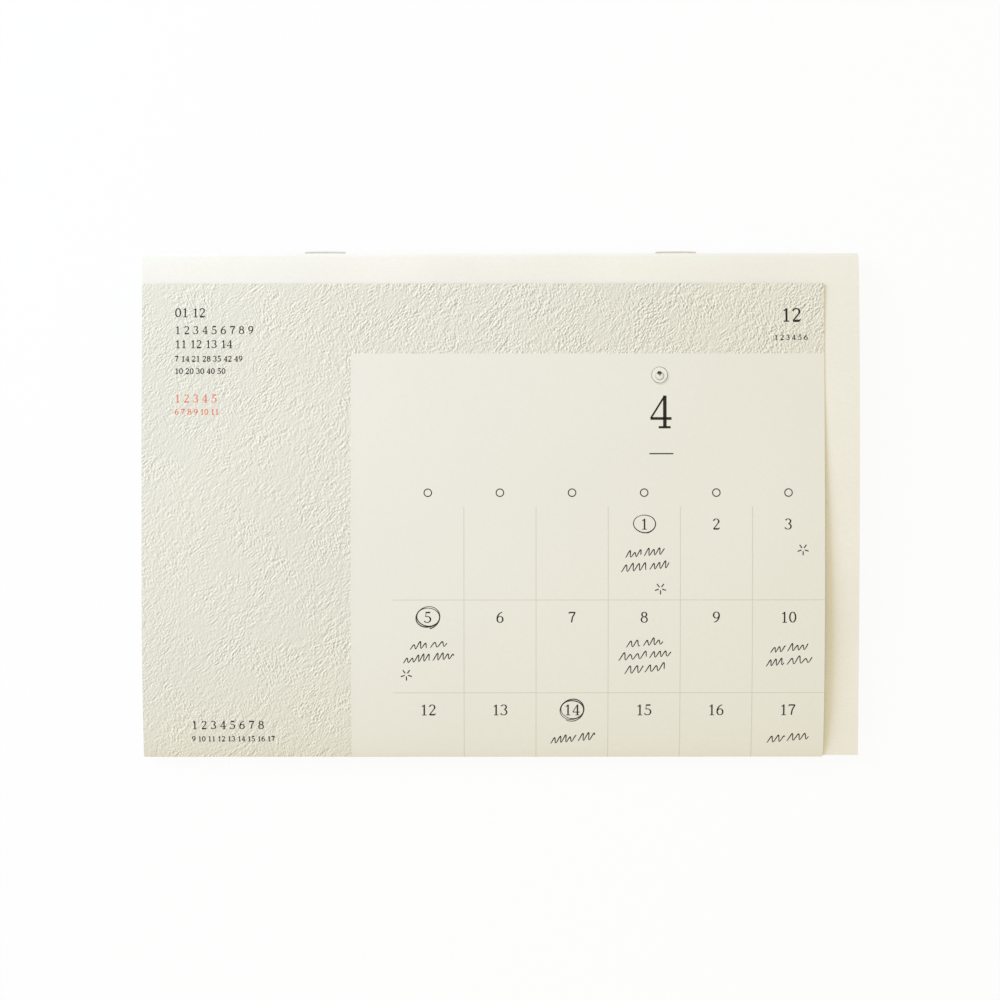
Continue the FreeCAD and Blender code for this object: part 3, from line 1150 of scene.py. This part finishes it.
@dataclass
class TitleSheet:
    """The loose printed sheet and the pale field of its print.

    Attributes:
        field_left, field_top: where the pale field starts, the top as a distance from the fold.
        first_gap, last_gap: least steps from the first row to the next, and to the last one.
    """

    print_finish: bpy.types.Material
    reverse_finish: bpy.types.Material
    field_finish: bpy.types.Material
    profile: SheetProfile = field(default_factory=SheetProfile)
    left: float = -104.8
    right: float = SHEET_RIGHT
    field_left: float = FIELD_LEFT
    field_top: float = 29.7
    columns: int = 60
    field_columns: int = 44
    front_rows: int = 110
    first_gap: float = 0.2
    last_gap: float = 0.001

    def rows(self, first: float, last: float) -> Array:
        """Running values, fine on the bend and a millimetre or two apart elsewhere.

        Args:
            first: the first value.
            last: the last value.

        Returns:
            The values in order.
        """
        table, _ = self.profile.line(self.profile.paper)
        bend = table[self.profile.front_points :]
        front = np.linspace(self.profile.top, self.profile.front_end, self.front_rows)
        every = np.concatenate((front, bend))
        inside = every[(every > first + self.first_gap) & (every < last - self.last_gap)]
        return np.concatenate(((first,), inside, (last,)))

    def layer(
        self, name: str, columns: Array, rows: Array, low: float, high: float, **dress: Any
    ) -> bpy.types.Object:
        """A piece between two depths, over columns of sideways places and rows of running values."""
        points, quads, printed = self.profile.film(*flat_grid(columns, rows), low, high)
        return make_piece(name, points, quads, printed=printed, **dress)

    def build(self) -> None:
        """Makes the sheet and the field, which ride on the front leaf."""
        profile = self.profile
        table, _ = profile.line(0.0)
        sheet = self.layer(
            "printed_sheet",
            np.linspace(self.left, self.right, self.columns),
            self.rows(profile.top, float(table[-1])),
            0.0,
            profile.paper,
            materials=[self.print_finish, self.reverse_finish],
            faces=Faces.OUTER_ONLY,
        )
        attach(sheet, "front_leaf")
        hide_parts("title_sheet")
        film = self.layer(
            "pale_field",
            np.linspace(self.field_left, self.right, self.field_columns),
            self.rows(self.field_top, profile.ink_end),
            profile.paper,
            profile.paper + profile.ink,
            materials=[self.field_finish],
        )
        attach(film, "front_leaf")
        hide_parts("page_field")
        log.info("printed_sheet and pale_field: the loose sheet and its field")


@dataclass
class Printer:
    """Puts flat shapes onto the printed sheet as ink; film is its thickness."""

    profile: SheetProfile = field(default_factory=SheetProfile)
    film: float = 0.015

    def ink(
        self,
        name: str,
        shapes: list[Shape],
        material: bpy.types.Material,
        slot: str,
        on_field: bool = True,
    ) -> bpy.types.Object:
        """Makes one piece of ink.

        Args:
            name: the piece's name.
            shapes: flat shapes as rows of (x, s) and their faces.
            material: its ink.
            slot: not used.
            on_field: whether it lies on the pale field or on the bare sheet.

        Returns:
            The piece.
        """
        low = self.profile.paper + (self.profile.ink if on_field else 0.0)
        points, quads, _ = self.profile.film(*joined(shapes), low, low + self.film)
        piece = make_piece(name, points, quads, [material])
        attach(piece, "front_leaf")
        log.info("%s: %d faces of ink", name, len(quads))
        return piece


def ribbon(path: Array, widths: Array) -> Shape:
    """A line with a width: path +- width/2 along the normal of its direction.

    Args:
        path: rows of points.
        widths: width at each.

    Returns:
        Points and faces.
    """
    along = np.gradient(path, axis=0)
    along /= np.linalg.norm(along, axis=1)[:, None] + TINY
    across = np.stack((-along[:, 1], along[:, 0]), axis=1) * widths[:, None] / 2
    points = np.stack((path - across, path + across), axis=1).reshape(-1, 2)
    return points, grid_faces(len(path), 2)


def arc_path(x: float, y: float, rx: float, ry: float, first: float, last: float) -> Array:
    """Points (x + rx cos a, y + ry sin a) for a from first to last degrees."""
    turn = np.radians(np.linspace(first, last, ARC_POINTS))
    return np.stack((x + rx * np.cos(turn), y + ry * np.sin(turn)), axis=1)


def circle_path(x: float, y: float, radius: float) -> Array:
    """Points all round a circle, the first one again at the end."""
    return arc_path(x, y, radius, radius, 0, FULL_TURN)


def line_path(*points: Array | tuple[float, float]) -> Array:
    """Points along straight lines from corner to corner, closely spaced.

    Args:
        points: the corners.

    Returns:
        The points, one a row.
    """
    corners = np.array(points, float)
    at = np.linspace(0.0, len(corners) - 1.0, LINE_POINTS * len(corners))
    index = np.arange(len(corners))
    return np.stack([np.interp(at, index, corners[:, i]) for i in (0, 1)], axis=1)


@dataclass(frozen=True)
class Numerals:
    """Roman numerals drawn with a pen that is broad on upright strokes and fine on level ones.

    The digits stand in cells one unit high. Each is a few strokes, and each stroke is a path and
    a factor on the pen's width.

    Attributes:
        stem, hair: widths of an upright and of a level stroke, in heights.
        wide: how much wider a digit is set than it is drawn, which is in the width cell.
        advance, space: distance from one digit to the next, and width of a space.
        swell: exponent with which the pen broadens on steeper strokes.
    """

    stem: float = 0.140
    hair: float = 0.068
    wide: float = 1.42
    advance: float = 0.78
    space: float = 0.38
    cell: float = 0.5
    swell: float = 1.5

    def strokes(self, digit: str) -> list[tuple[Array, float]]:
        """The strokes of a digit.

        Args:
            digit: one character from 0 to 9.

        Returns:
            Paths and pen factors.
        """
        drawn = {
            "0": [(arc_path(0.25, 0.5, 0.19, 0.47, 0, FULL_TURN), 1.0)],
            "1": [
                (line_path((0.12, 0.80), (0.27, 0.93)), 0.9),
                (line_path((0.27, 0.99), (0.27, 0.02)), 1.0),
                (line_path((0.12, 0.015), (0.42, 0.015)), 1.0),
            ],
            "2": [
                (arc_path(0.235, 0.735, 0.17, 0.235, 168, -38), 1.0),
                (line_path((0.369, 0.59), (0.24, 0.35), (0.06, 0.05)), 0.75),
                (line_path((0.06, 0.045), (0.40, 0.045)), 2.1),
                (line_path((0.41, 0.03), (0.455, 0.17)), 0.6),
            ],
            "3": [
                (arc_path(0.215, 0.755, 0.165, 0.215, 158, -82), 1.0),
                (arc_path(0.205, 0.275, 0.205, 0.255, 82, -158), 1.0),
            ],
            "4": [
                (line_path((0.335, 0.99), (0.335, 0.02)), 1.0),
                (line_path((0.335, 0.985), (0.03, 0.29)), 0.55),
                (line_path((0.025, 0.285), (0.48, 0.285)), 1.2),
                (line_path((0.20, 0.015), (0.46, 0.015)), 1.0),
            ],
            "5": [
                (line_path((0.12, 0.945), (0.41, 0.945)), 2.0),
                (line_path((0.13, 0.97), (0.105, 0.54)), 0.45),
                (arc_path(0.205, 0.305, 0.215, 0.285, 118, -152), 1.0),
            ],
            "6": [
                (arc_path(0.25, 0.305, 0.185, 0.285, 0, FULL_TURN), 1.0),
                (arc_path(0.46, 0.34, 0.395, 0.63, 178, 98), 0.95),
            ],
            "7": [
                (line_path((0.05, 0.945), (0.455, 0.945)), 1.9),
                (line_path((0.055, 0.97), (0.045, 0.80)), 0.45),
                (line_path((0.45, 0.94), (0.27, 0.50), (0.21, 0.02)), 0.9),
            ],
            "8": [
                (arc_path(0.25, 0.755, 0.15, 0.215, 0, FULL_TURN), 1.0),
                (arc_path(0.25, 0.275, 0.19, 0.255, 0, FULL_TURN), 1.0),
            ],
            "9": [
                (arc_path(0.25, 0.695, 0.185, 0.285, 0, FULL_TURN), 1.0),
                (arc_path(0.04, 0.66, 0.395, 0.63, -2, -82), 0.95),
            ],
        }
        return drawn[digit]

    def shapes(self, digit: str) -> list[Shape]:
        """The digit's ribbons in its unit cell.

        The width is hair + (stem - hair) |sin a|^swell, with a the stroke's angle from level.

        Args:
            digit: one character from 0 to 9.

        Returns:
            Points and faces of each stroke.
        """
        made = []
        for path, factor in self.strokes(digit):
            path = path * (self.wide, 1.0)
            along = np.gradient(path, axis=0)
            steep = np.abs(along[:, 1]) / (np.linalg.norm(along, axis=1) + TINY)
            width = self.hair + (self.stem - self.hair) * steep**self.swell
            made.append(ribbon(path, factor * width))
        return made

    def write(
        self, text: str, x: float, s: float, height: float, centred: bool = True
    ) -> list[Shape]:
        """Numbers on the sheet.

        Args:
            text: digits and spaces.
            x: middle of the number, or its left end.
            s: distance from the fold to its middle height.
            height: of the digits in millimetres.
            centred: whether x is the middle.

        Returns:
            Flat shapes in (x, s).
        """
        steps = np.cumsum([0.0] + [self.space if c == " " else self.advance for c in text])
        width = steps[-1] - self.advance + self.cell * self.wide
        left = x - width * height / 2 if centred else x
        made = []
        for character, step in zip(text, steps):
            if character == " ":
                continue
            for points, faces in self.shapes(character):
                across = left + (points[:, 0] + step) * height
                down = s + (0.5 - points[:, 1]) * height
                made.append((np.stack((across, down), axis=1), faces))
        return made


@dataclass(frozen=True)
class RoundMark:
    """The round mark at the head of the field: two rings, a pale disc, an eye and a shade.

    Attributes:
        x, s: its middle.
        rim, rim_widths: radius of the outer ring, its least width and how much it swells.
        shade, shade_shift: radius of the shade, and how far it lies to the right and down.
        shade_span: angles from which to which it reaches, in degrees.
        shade_end: how far from nothing its width starts and ends, in radians.
        inner, inner_drop: radius of the inner ring, and how far it lies below the middle.
        swell_turn: where both rings are broadest, in radians.
        eye_shift, eye_flat: the eye's place from the middle, and its height for its width.
        neck_start, neck_end, neck_widths: the short stroke below the eye.
        lifted_film: how high the eye and the inner ring stand.
    """

    x: float = 46.45
    s: float = 36.0
    rim: float = 2.36
    rim_widths: tuple[float, float] = (0.17, 0.15)
    disc: float = 2.30
    shade: float = 2.66
    shade_shift: float = 0.1
    shade_span: tuple[float, float] = (-25.0, 125.0)
    shade_width: float = 0.5
    shade_end: float = 0.05
    inner: float = 1.16
    inner_drop: float = 0.25
    inner_widths: tuple[float, float] = (0.12, 0.42)
    swell_turn: float = 0.7
    eye: float = 0.68
    eye_shift: tuple[float, float] = (-0.02, -0.58)
    eye_flat: float = 0.82
    neck_start: tuple[float, float] = (-0.04, -0.45)
    neck_end: tuple[float, float] = (0.2, 0.42)
    neck_widths: tuple[float, float] = (0.95, 0.3)
    lifted_film: float = 0.03

    def ring(self, path: Array, least: float, more: float) -> Shape:
        """A ring of width least + more (1 + cos(a - swell_turn)) / 2 at the angle a."""
        turn = np.radians(np.linspace(0, FULL_TURN, len(path)))
        return ribbon(path, least + more * (0.5 + 0.5 * np.cos(turn - self.swell_turn)))

    def build(self, printer: Printer, finishes: dict[str, bpy.types.Material]) -> None:
        """Prints the mark.

        Args:
            printer: prints the flat pieces.
            finishes: every finish.
        """
        place = np.array((self.x, self.s))
        lifted = Printer(film=self.lifted_film)
        shaded = place + self.shade_shift
        shade = arc_path(*shaded, self.shade, self.shade, *self.shade_span)
        fade = np.sin(np.linspace(self.shade_end, math.pi - self.shade_end, len(shade)))
        disc_points, disc_faces = disc(self.disc)
        eye_points, eye_faces = disc(self.eye)
        eye_points = eye_points * (1.0, self.eye_flat) + place + self.eye_shift
        inner = circle_path(self.x, self.s + self.inner_drop, self.inner)
        neck = line_path(place + self.neck_start, place + self.neck_end)
        rim = self.ring(circle_path(self.x, self.s, self.rim), *self.rim_widths)
        middle = [
            self.ring(inner, *self.inner_widths),
            ribbon(neck, np.linspace(*self.neck_widths, len(neck))),
        ]
        for name, shapes, finish, press in (
            ("rim", [rim], "grey", printer),
            ("shade", [ribbon(shade, self.shade_width * fade)], "shade", printer),
            ("disc", [(disc_points + place, disc_faces)], "glint", printer),
            ("eye", [(eye_points, eye_faces)], "black", lifted),
            ("middle", middle, "haze", lifted),
        ):
            piece = press.ink(f"round_mark_{name}", shapes, finishes[finish], "mark_print")
            if name == "rim":
                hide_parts("pin_mark")


@dataclass
class FieldPrint:
    """The ruled lines, the numbers and the round mark on the pale field.

    Attributes:
        grid_left, grid_top: where the level and the upright lines start.
        column, row: width and height of a cell.
        first_column, first_row: place of the first upright and of the first level line.
        line_points: points on an upright line's front and bend, and on a level line.
        weeks: the days of each row.
        head_s: distance of the rings at the heads of the columns from the fold.
        rule_span, rule_edges: the short rule below the month, from side to side and down.
        number_drop: from a level line to the middle of the numbers below it.
    """

    finishes: dict[str, bpy.types.Material]
    printer: Printer = field(default_factory=Printer)
    numerals: Numerals = field(default_factory=Numerals)
    month_numerals: Numerals = field(default_factory=lambda: Numerals(stem=0.108, hair=0.071))
    grid_left: float = -31.6
    column: float = 21.05
    first_column: float = -10.75
    columns: int = 5
    grid_top: float = 74.4
    row: float = 27.2
    first_row: float = 101.7
    rows: int = 2
    line: float = 0.22
    line_points: tuple[int, int, int] = (48, 20, 60)
    sheet_right: float = SHEET_RIGHT
    weeks: tuple[range, ...] = (range(1, 4), range(5, 11), range(12, 18))
    month: str = "4"
    month_place: tuple[float, float] = (46.8, 46.7)
    month_height: float = 9.5
    head_s: float = 70.4
    head_radius: float = 1.1
    head_line: float = 0.3
    rule_span: tuple[float, float] = (43.4, 50.4)
    rule_edges: tuple[float, float] = (58.85, 59.2)
    number_height: float = 3.15
    number_drop: float = 5.05

    def bars(self) -> list[Shape]:
        """The ruled lines: upright ones from the grid's head down, level ones to the right.

        Returns:
            Flat shapes in (x, s).
        """
        profile = self.printer.profile
        front, bend, level = self.line_points
        down = np.concatenate(
            (
                np.linspace(self.grid_top, profile.front_end, front),
                np.linspace(profile.front_end, profile.ink_end, bend)[1:],
            )
        )
        edges = np.array((-self.line / 2, self.line / 2))
        upright = [
            flat_grid(self.first_column + i * self.column + edges, down)
            for i in range(self.columns)
        ]
        across = np.linspace(self.grid_left, self.sheet_right, level)
        return upright + [
            flat_grid(across, self.first_row + i * self.row + edges) for i in range(self.rows)
        ]

    def column_middle(self, column: int) -> float:
        """Sideways middle of a column, counted from 0."""
        return self.first_column + (column - 0.5) * self.column

    def row_middle(self, row: int) -> float:
        """Distance from the fold to a row's numbers, counted from 0."""
        return self.first_row + (row - 1) * self.row + self.number_drop

    def dates(self) -> list[Shape]:
        """Day numbers, each row of them up to the last column.

        Returns:
            Flat shapes in (x, s).
        """
        made = []
        for row, days in enumerate(self.weeks):
            for day in days:
                column = self.columns + 1 - len(days) + day - days[0]
                place = (self.column_middle(column), self.row_middle(row))
                made += self.numerals.write(str(day), *place, self.number_height)
        return made

    def heads(self) -> list[Shape]:
        """A ring at the head of each column, and the short rule below the month.

        Returns:
            Flat shapes in (x, s).
        """
        made = []
        for column in range(self.columns + 1):
            circle = circle_path(self.column_middle(column), self.head_s, self.head_radius)
            made.append(ribbon(circle, np.full(len(circle), self.head_line)))
        return [*made, flat_grid(np.array(self.rule_span), np.array(self.rule_edges))]

    def build(self) -> None:
        """Prints the field."""
        lines = self.printer.ink("ruled_lines", self.bars(), self.finishes["rule"], "line_print")
        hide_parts("grid_lines")
        month = self.month_numerals.write(self.month, *self.month_place, self.month_height)
        for name, shapes in (
            ("day_numbers", self.dates()),
            ("month_number", month),
            ("column_heads", self.heads()),
        ):
            self.printer.ink(name, shapes, self.finishes["black"], "mark_print")
        RoundMark().build(self.printer, self.finishes)


@dataclass
class SideNumbers:
    """Small rows of plain numbers in three corners of the plaster.

    Attributes:
        small, small_height: pen of the rows that are lower than that height.
        left, low_left: left ends of the upper and of the lower rows.
        dark: the rows in black, each its text, left end, distance from the fold and height.
        warm: the rows in orange.
    """

    finishes: dict[str, bpy.types.Material]
    printer: Printer = field(default_factory=Printer)
    numerals: Numerals = field(default_factory=lambda: Numerals(stem=0.150, hair=0.085))
    small: Numerals = field(default_factory=lambda: Numerals(stem=0.185, hair=0.120))
    small_height: float = 2.0
    left: float = -95.2
    low_left: float = -90.6
    dark: tuple[tuple[str, float, float, float], ...] = (
        ("01 12", left, 17.7, 2.6),
        ("1 2 3 4 5 6 7 8 9", left, 22.8, 2.3),
        ("11 12 13 14", left, 26.9, 2.3),
        ("7 14 21 28 35 42 49", left, 31.2, 1.6),
        ("10 20 30 40 50", left, 34.8, 1.6),
        ("1 2 3 4 5 6 7 8", low_left, 138.4, 2.4),
        ("9 10 11 12 13 14 15 16 17", low_left, 142.5, 1.5),
        ("12", 82.1, 18.4, 3.9),
        ("1 2 3 4 5 6", 80.0, 25.0, 1.5),
    )
    warm: tuple[tuple[str, float, float, float], ...] = (
        ("1 2 3 4 5", left, 42.8, 2.3),
        ("6 7 8 9 10 11", left, 46.7, 1.6),
    )

    def build(self) -> None:
        """Prints the rows, two of them in orange."""
        for name, rows, ink in (
            ("side_numbers", self.dark, "black"),
            ("orange_numbers", self.warm, "orange"),
        ):
            shapes = []
            for text, x, s, height in rows:
                pen = self.small if height < self.small_height else self.numerals
                shapes += pen.write(text, x, s, height, centred=False)
            self.printer.ink(name, shapes, self.finishes[ink], "mark_print", on_field=False)


@dataclass
class HandMarks:
    """Loose pen marks in the grid's cells: rings round three dates, wavy lines and small stars.

    Attributes:
        dates: the ringed dates, each its column, row, ring's size and turns.
        notes: the wavy lines, each its column, row, drop below the number, and length.
        ring_size: a ring's first size, its growth a turn and its wobble, as shares of its size.
        ring_wobble: wobbles a turn.
        ring_stretch: a ring's width and height, as shares of its size.
        ring_pen, wave_pen: least width and swell of the line, as shares of the pen's width.
        wave_cut, wave_gap: where the gap between the waves lies in the length, and half the gap.
        wave_fineness: points on a millimetre.
        wave_lengths: least and greatest length from crest to crest.
        wave_knots: how many times the height is drawn anew along a wave.
        wave_lean: how far a crest leans to the right, as a share of its height.
        wave_rise: how much the line rises, as a share of its length.
        star_open: where a stroke starts, as a share of its reach.
    """

    ink_finish: bpy.types.Material
    page: FieldPrint
    pen: float = 0.33
    seed: int = 11
    dates: tuple[tuple[int, int, float, float], ...] = (
        (3, 0, 2.9, 1.08),
        (0, 1, 3.0, 2.1),
        (2, 2, 3.0, 2.2),
    )
    notes: tuple[tuple[int, int, float, float], ...] = (
        (3, 0, 9.8, 11.0),
        (3, 0, 14.0, 13.5),
        (0, 1, 9.4, 10.5),
        (0, 1, 13.4, 14.5),
        (3, 1, 8.8, 10.5),
        (3, 1, 12.7, 15.0),
        (3, 1, 16.6, 11.5),
        (5, 1, 10.4, 10.5),
        (5, 1, 14.4, 13.0),
        (2, 2, 10.0, 12.5),
        (5, 2, 9.8, 12.0),
    )
    stars: tuple[tuple[float, float], ...] = ((46.6, 98.4), (88.2, 87.0), (-27.6, 123.6))
    ring_points: int = 90
    ring_start: float = 0.8
    ring_size: tuple[float, float, float] = (0.94, 0.10, 0.05)
    ring_wobble: float = 2.3
    ring_stretch: tuple[float, float] = (1.06, 0.94)
    ring_pen: tuple[float, float] = (0.55, 0.45)
    wave_cut: tuple[float, float] = (0.42, 0.62)
    wave_gap: float = 0.5
    wave_fineness: int = 16
    wave_heights: tuple[float, float] = (1.1, 2.6)
    wave_knots: int = 6
    wave_lengths: tuple[float, float] = (1.5, 2.1)
    wave_lean: float = 0.3
    wave_rise: float = 0.09
    wave_pen: tuple[float, float] = (0.62, 0.38)
    star_size: float = 1.7
    star_rays: int = 5
    star_open: float = 0.3
    star_turn: float = 0.3

    def stroke(self, path: Array, turn: Array, widths: tuple[float, float]) -> Shape:
        """A stroke along a path, of width pen (least + more |sin turn|)."""
        least, more = widths
        return ribbon(path, self.pen * (least + more * np.abs(np.sin(turn))))

    def ring(self, x: float, s: float, size: float, turns: float) -> Shape:
        """A loose ring: radius size (first + growth t + wobble sin w a) at a, for t over its turns.

        Args:
            x: sideways place of its middle.
            s: distance of its middle from the fold.
            size: its radius.
            turns: how often the pen goes round.

        Returns:
            Points and faces.
        """
        t = np.linspace(0.0, turns, self.ring_points)
        turn = 2 * np.pi * t + self.ring_start
        first, growth, wobble = self.ring_size
        radius = size * (first + growth * t + wobble * np.sin(self.ring_wobble * turn))
        wide, high = self.ring_stretch
        rim = (x + wide * radius * np.cos(turn), s + high * radius * np.sin(turn))
        return self.stroke(np.stack(rim, axis=1), turn / 2 + x, self.ring_pen)

    def wave(self, x: float, s: float, length: float, drawn: Any) -> list[Shape]:
        """A line of two leaning waves that rises a little to the right.

        A wave is (x + t + lean h, s - h - rise t) with h = a(t) (1 - cos(w t)) / 2 and a slowly
        changing height a(t).

        Args:
            x: its left end.
            s: distance from the fold to its foot.
            length: of the line.
            drawn: source of the unevenness.

        Returns:
            Points and faces of each wave.
        """
        cut = length * drawn.uniform(*self.wave_cut)
        made = []
        for start, end in ((0.0, cut - self.wave_gap), (cut + self.wave_gap, length)):
            t = np.linspace(0.0, end - start, int(self.wave_fineness * (end - start)))
            knots = np.linspace(0.0, end - start, self.wave_knots)
            tall = np.interp(t, knots, drawn.uniform(*self.wave_heights, self.wave_knots))
            turn = 2 * np.pi * t / drawn.uniform(*self.wave_lengths)
            height = tall * (0.5 - 0.5 * np.cos(turn))
            across = x + start + t + self.wave_lean * height
            path = np.stack((across, s - height - self.wave_rise * (start + t)), axis=1)
            made.append(self.stroke(path, turn / 2, self.wave_pen))
        return made

    def star(self, x: float, s: float) -> list[Shape]:
        """A small star of short strokes round an open middle.

        Args:
            x: sideways place of its middle.
            s: distance of its middle from the fold.

        Returns:
            Points and faces of each stroke.
        """
        made = []
        for ray in range(self.star_rays):
            turn = ray * 2 * math.pi / self.star_rays + self.star_turn
            reach = self.star_size * np.array((math.cos(turn), math.sin(turn)))
            ends = np.array((x, s)) + np.outer((self.star_open, 1.0), reach)
            path = line_path(*ends)
            made.append(ribbon(path, np.full(len(path), self.pen)))
        return made

    def build(self) -> None:
        """Draws the marks."""
        page, drawn = self.page, np.random.default_rng(self.seed)
        shapes = []
        for column, row, size, turns in self.dates:
            shapes.append(self.ring(page.column_middle(column), page.row_middle(row), size, turns))
        for column, row, drop, length in self.notes:
            x = page.column_middle(column) - length / 2
            shapes += self.wave(x, page.row_middle(row) + drop, length, drawn)
        for place in self.stars:
            shapes += self.star(*place)
        page.printer.ink("pen_marks", shapes, self.ink_finish, "mark_print")


# The studio


def white_where_seen(tree: bpy.types.NodeTree, share: float, plain: Any, white: Any) -> Any:
    """White for rays from the camera, in a reflection or through glass, and plain for the others.

    Args:
        tree: the nodes to add to.
        share: share of white in what is seen.
        plain: output of the shader that the other rays meet.
        white: output of the white shader.

    Returns:
        The mixed shader's output.
    """
    path = add_node(tree, "ShaderNodeLightPath")
    seen = path.outputs["Is Camera Ray"]
    for name in ("Is Glossy Ray", "Is Transmission Ray"):
        inputs = {0: seen, 1: path.outputs[name]}
        seen = add_node(tree, "ShaderNodeMath", inputs, operation="MAXIMUM").outputs[0]
    part = add_node(tree, "ShaderNodeMath", {0: seen, 1: share}, operation="MULTIPLY").outputs[0]
    return add_node(tree, "ShaderNodeMixShader", {0: part, 1: plain, 2: white}).outputs[0]


def put_up(data: Any, place: Any, turn: tuple[float, float, float]) -> bpy.types.Object:
    """Puts a lamp or a camera into the scene.

    Args:
        data: the lamp or the camera.
        place: where it stands, in metres.
        turn: its rotation, in radians.

    Returns:
        The object.
    """
    made = bpy.data.objects.new(data.name, data)
    made.location = place
    made.rotation_euler = turn
    bpy.context.scene.collection.objects.link(made)
    return made


@dataclass
class Studio:
    """Floor, white surroundings, a warm even light, one soft lamp and the camera above.

    Attributes:
        lamp_size, lamp_distance: in metres, as are the camera's places.
        lamp_height_angle, lamp_side_angle: direction of the lamp, up and round, in degrees.
        camera_roll: turn about the camera's own axis, in degrees.
        camera_near: the nearest thing that the camera sees.
        sensor, lens: width of the sensor and focal length, in millimetres.
        floor_shine: share of plain white in the floor as it is seen.
        floor_half, floor_drop: half the side of the floor, and how far it lies below the calendar.
        floor_grain, floor_shades: a noise, and its factors on the floor's colour.
    """

    world_colour: Colour = (0.800, 0.735, 0.552)
    lamp_colour: Colour = (0.437, 0.577, 0.91)
    lamp_power: float = 10.0
    lamp_size: float = 0.47
    lamp_distance: float = 1.0
    lamp_height_angle: float = 27.0
    lamp_side_angle: float = 153.0
    camera_height: float = 0.560
    camera_place: tuple[float, float] = (-0.00020, 0.00128)
    camera_roll: float = -0.035
    camera_near: float = 0.01
    sensor: float = 36.0
    lens: float = 68.137
    floor_colour: Colour = (0.86, 0.86, 0.85)
    floor_roughness: float = 0.9
    floor_shine: float = 0.92
    floor_half: float = 3000.0
    floor_drop: float = 0.05
    floor_grain: Cloud = Cloud((60.0, 60.0, 60.0))
    floor_shades: tuple[float, float] = (0.99, 1.01)

    def floor(self) -> None:
        """A pale floor that the camera sees mostly as plain white, with the calendar's shadow."""
        wiring = Wiring("studio_floor")
        shade = wiring.span(self.floor_grain.value(wiring), 0.0, 1.0, *self.floor_shades)
        tone = wiring.tinted(self.floor_colour, shade)
        wiring.surface(Base_Color=tone, Roughness=self.floor_roughness)
        glow = add_node(wiring.tree, "ShaderNodeEmission", {"Color": WHITE}).outputs[0]
        plain = wiring.shader.outputs["BSDF"]
        out = next(n for n in wiring.tree.nodes if n.type == "OUTPUT_MATERIAL")
        mixed = white_where_seen(wiring.tree, self.floor_shine, plain, glow)
        join(mixed, out.inputs["Surface"])
        side = np.linspace(-self.floor_half, self.floor_half, 3)
        flat, faces = flat_grid(side, side)
        points = np.concatenate((flat, np.full((len(flat), 1), -self.floor_drop)), axis=1)
        make_piece("studio_floor", points, faces, [wiring.material])

    def surroundings(self) -> None:
        """A world that lights the calendar warmly and looks white."""
        world = bpy.data.worlds.new("studio")
        world.use_nodes = True
        tree = world.node_tree
        tree.nodes.clear()
        light, white = (
            add_node(tree, "ShaderNodeBackground", {"Color": colour}).outputs[0]
            for colour in ((*self.world_colour, 1.0), WHITE)
        )
        mixed = white_where_seen(tree, 1.0, light, white)
        add_node(tree, "ShaderNodeOutputWorld", {"Surface": mixed})
        bpy.context.scene.world = world

    def lamp(self) -> None:
        """A square soft lamp, low at the upper left, that points at the calendar."""
        data = bpy.data.lights.new("soft_lamp", "AREA")
        data.shape = "SQUARE"
        data.size = self.lamp_size
        data.energy = self.lamp_power
        data.color = self.lamp_colour
        up, side = math.radians(self.lamp_height_angle), math.radians(self.lamp_side_angle)
        place = np.array(
            (math.cos(up) * math.cos(side), math.cos(up) * math.sin(side), math.sin(up))
        )
        turn = (math.pi / 2 - up, 0.0, side + math.pi / 2)
        put_up(data, place * self.lamp_distance, turn)

    def camera(self) -> None:
        """The camera, straight above and turned a trace."""
        data = bpy.data.cameras.new("camera")
        data.sensor_width = self.sensor
        data.lens = self.lens
        data.clip_start = self.camera_near
        place = (*self.camera_place, self.camera_height)
        bpy.context.scene.camera = put_up(data, place, (0.0, 0.0, math.radians(self.camera_roll)))

    def build(self) -> None:
        """Sets up the studio."""
        self.floor()
        self.surroundings()
        self.lamp()
        self.camera()
        bpy.context.scene.view_settings.view_transform = "Standard"
        log.info("studio: floor, surroundings, one lamp and the camera")


def main() -> None:
    """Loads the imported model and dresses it."""
    logging.basicConfig(level=logging.INFO, format="%(name)s: %(message)s")
    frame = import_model()
    made = Finishes().make()
    Cover(made["cover"]).build()
    Inside(frame, made["inner"], made["wire"]).build()
    TitleSheet(made["plaster"], made["reverse"], made["pale"]).build()
    page = FieldPrint(made)
    page.build()
    SideNumbers(made).build()
    HandMarks(made["hand"], page).build()
    Studio().build()


if __name__ == "__main__":
    main()
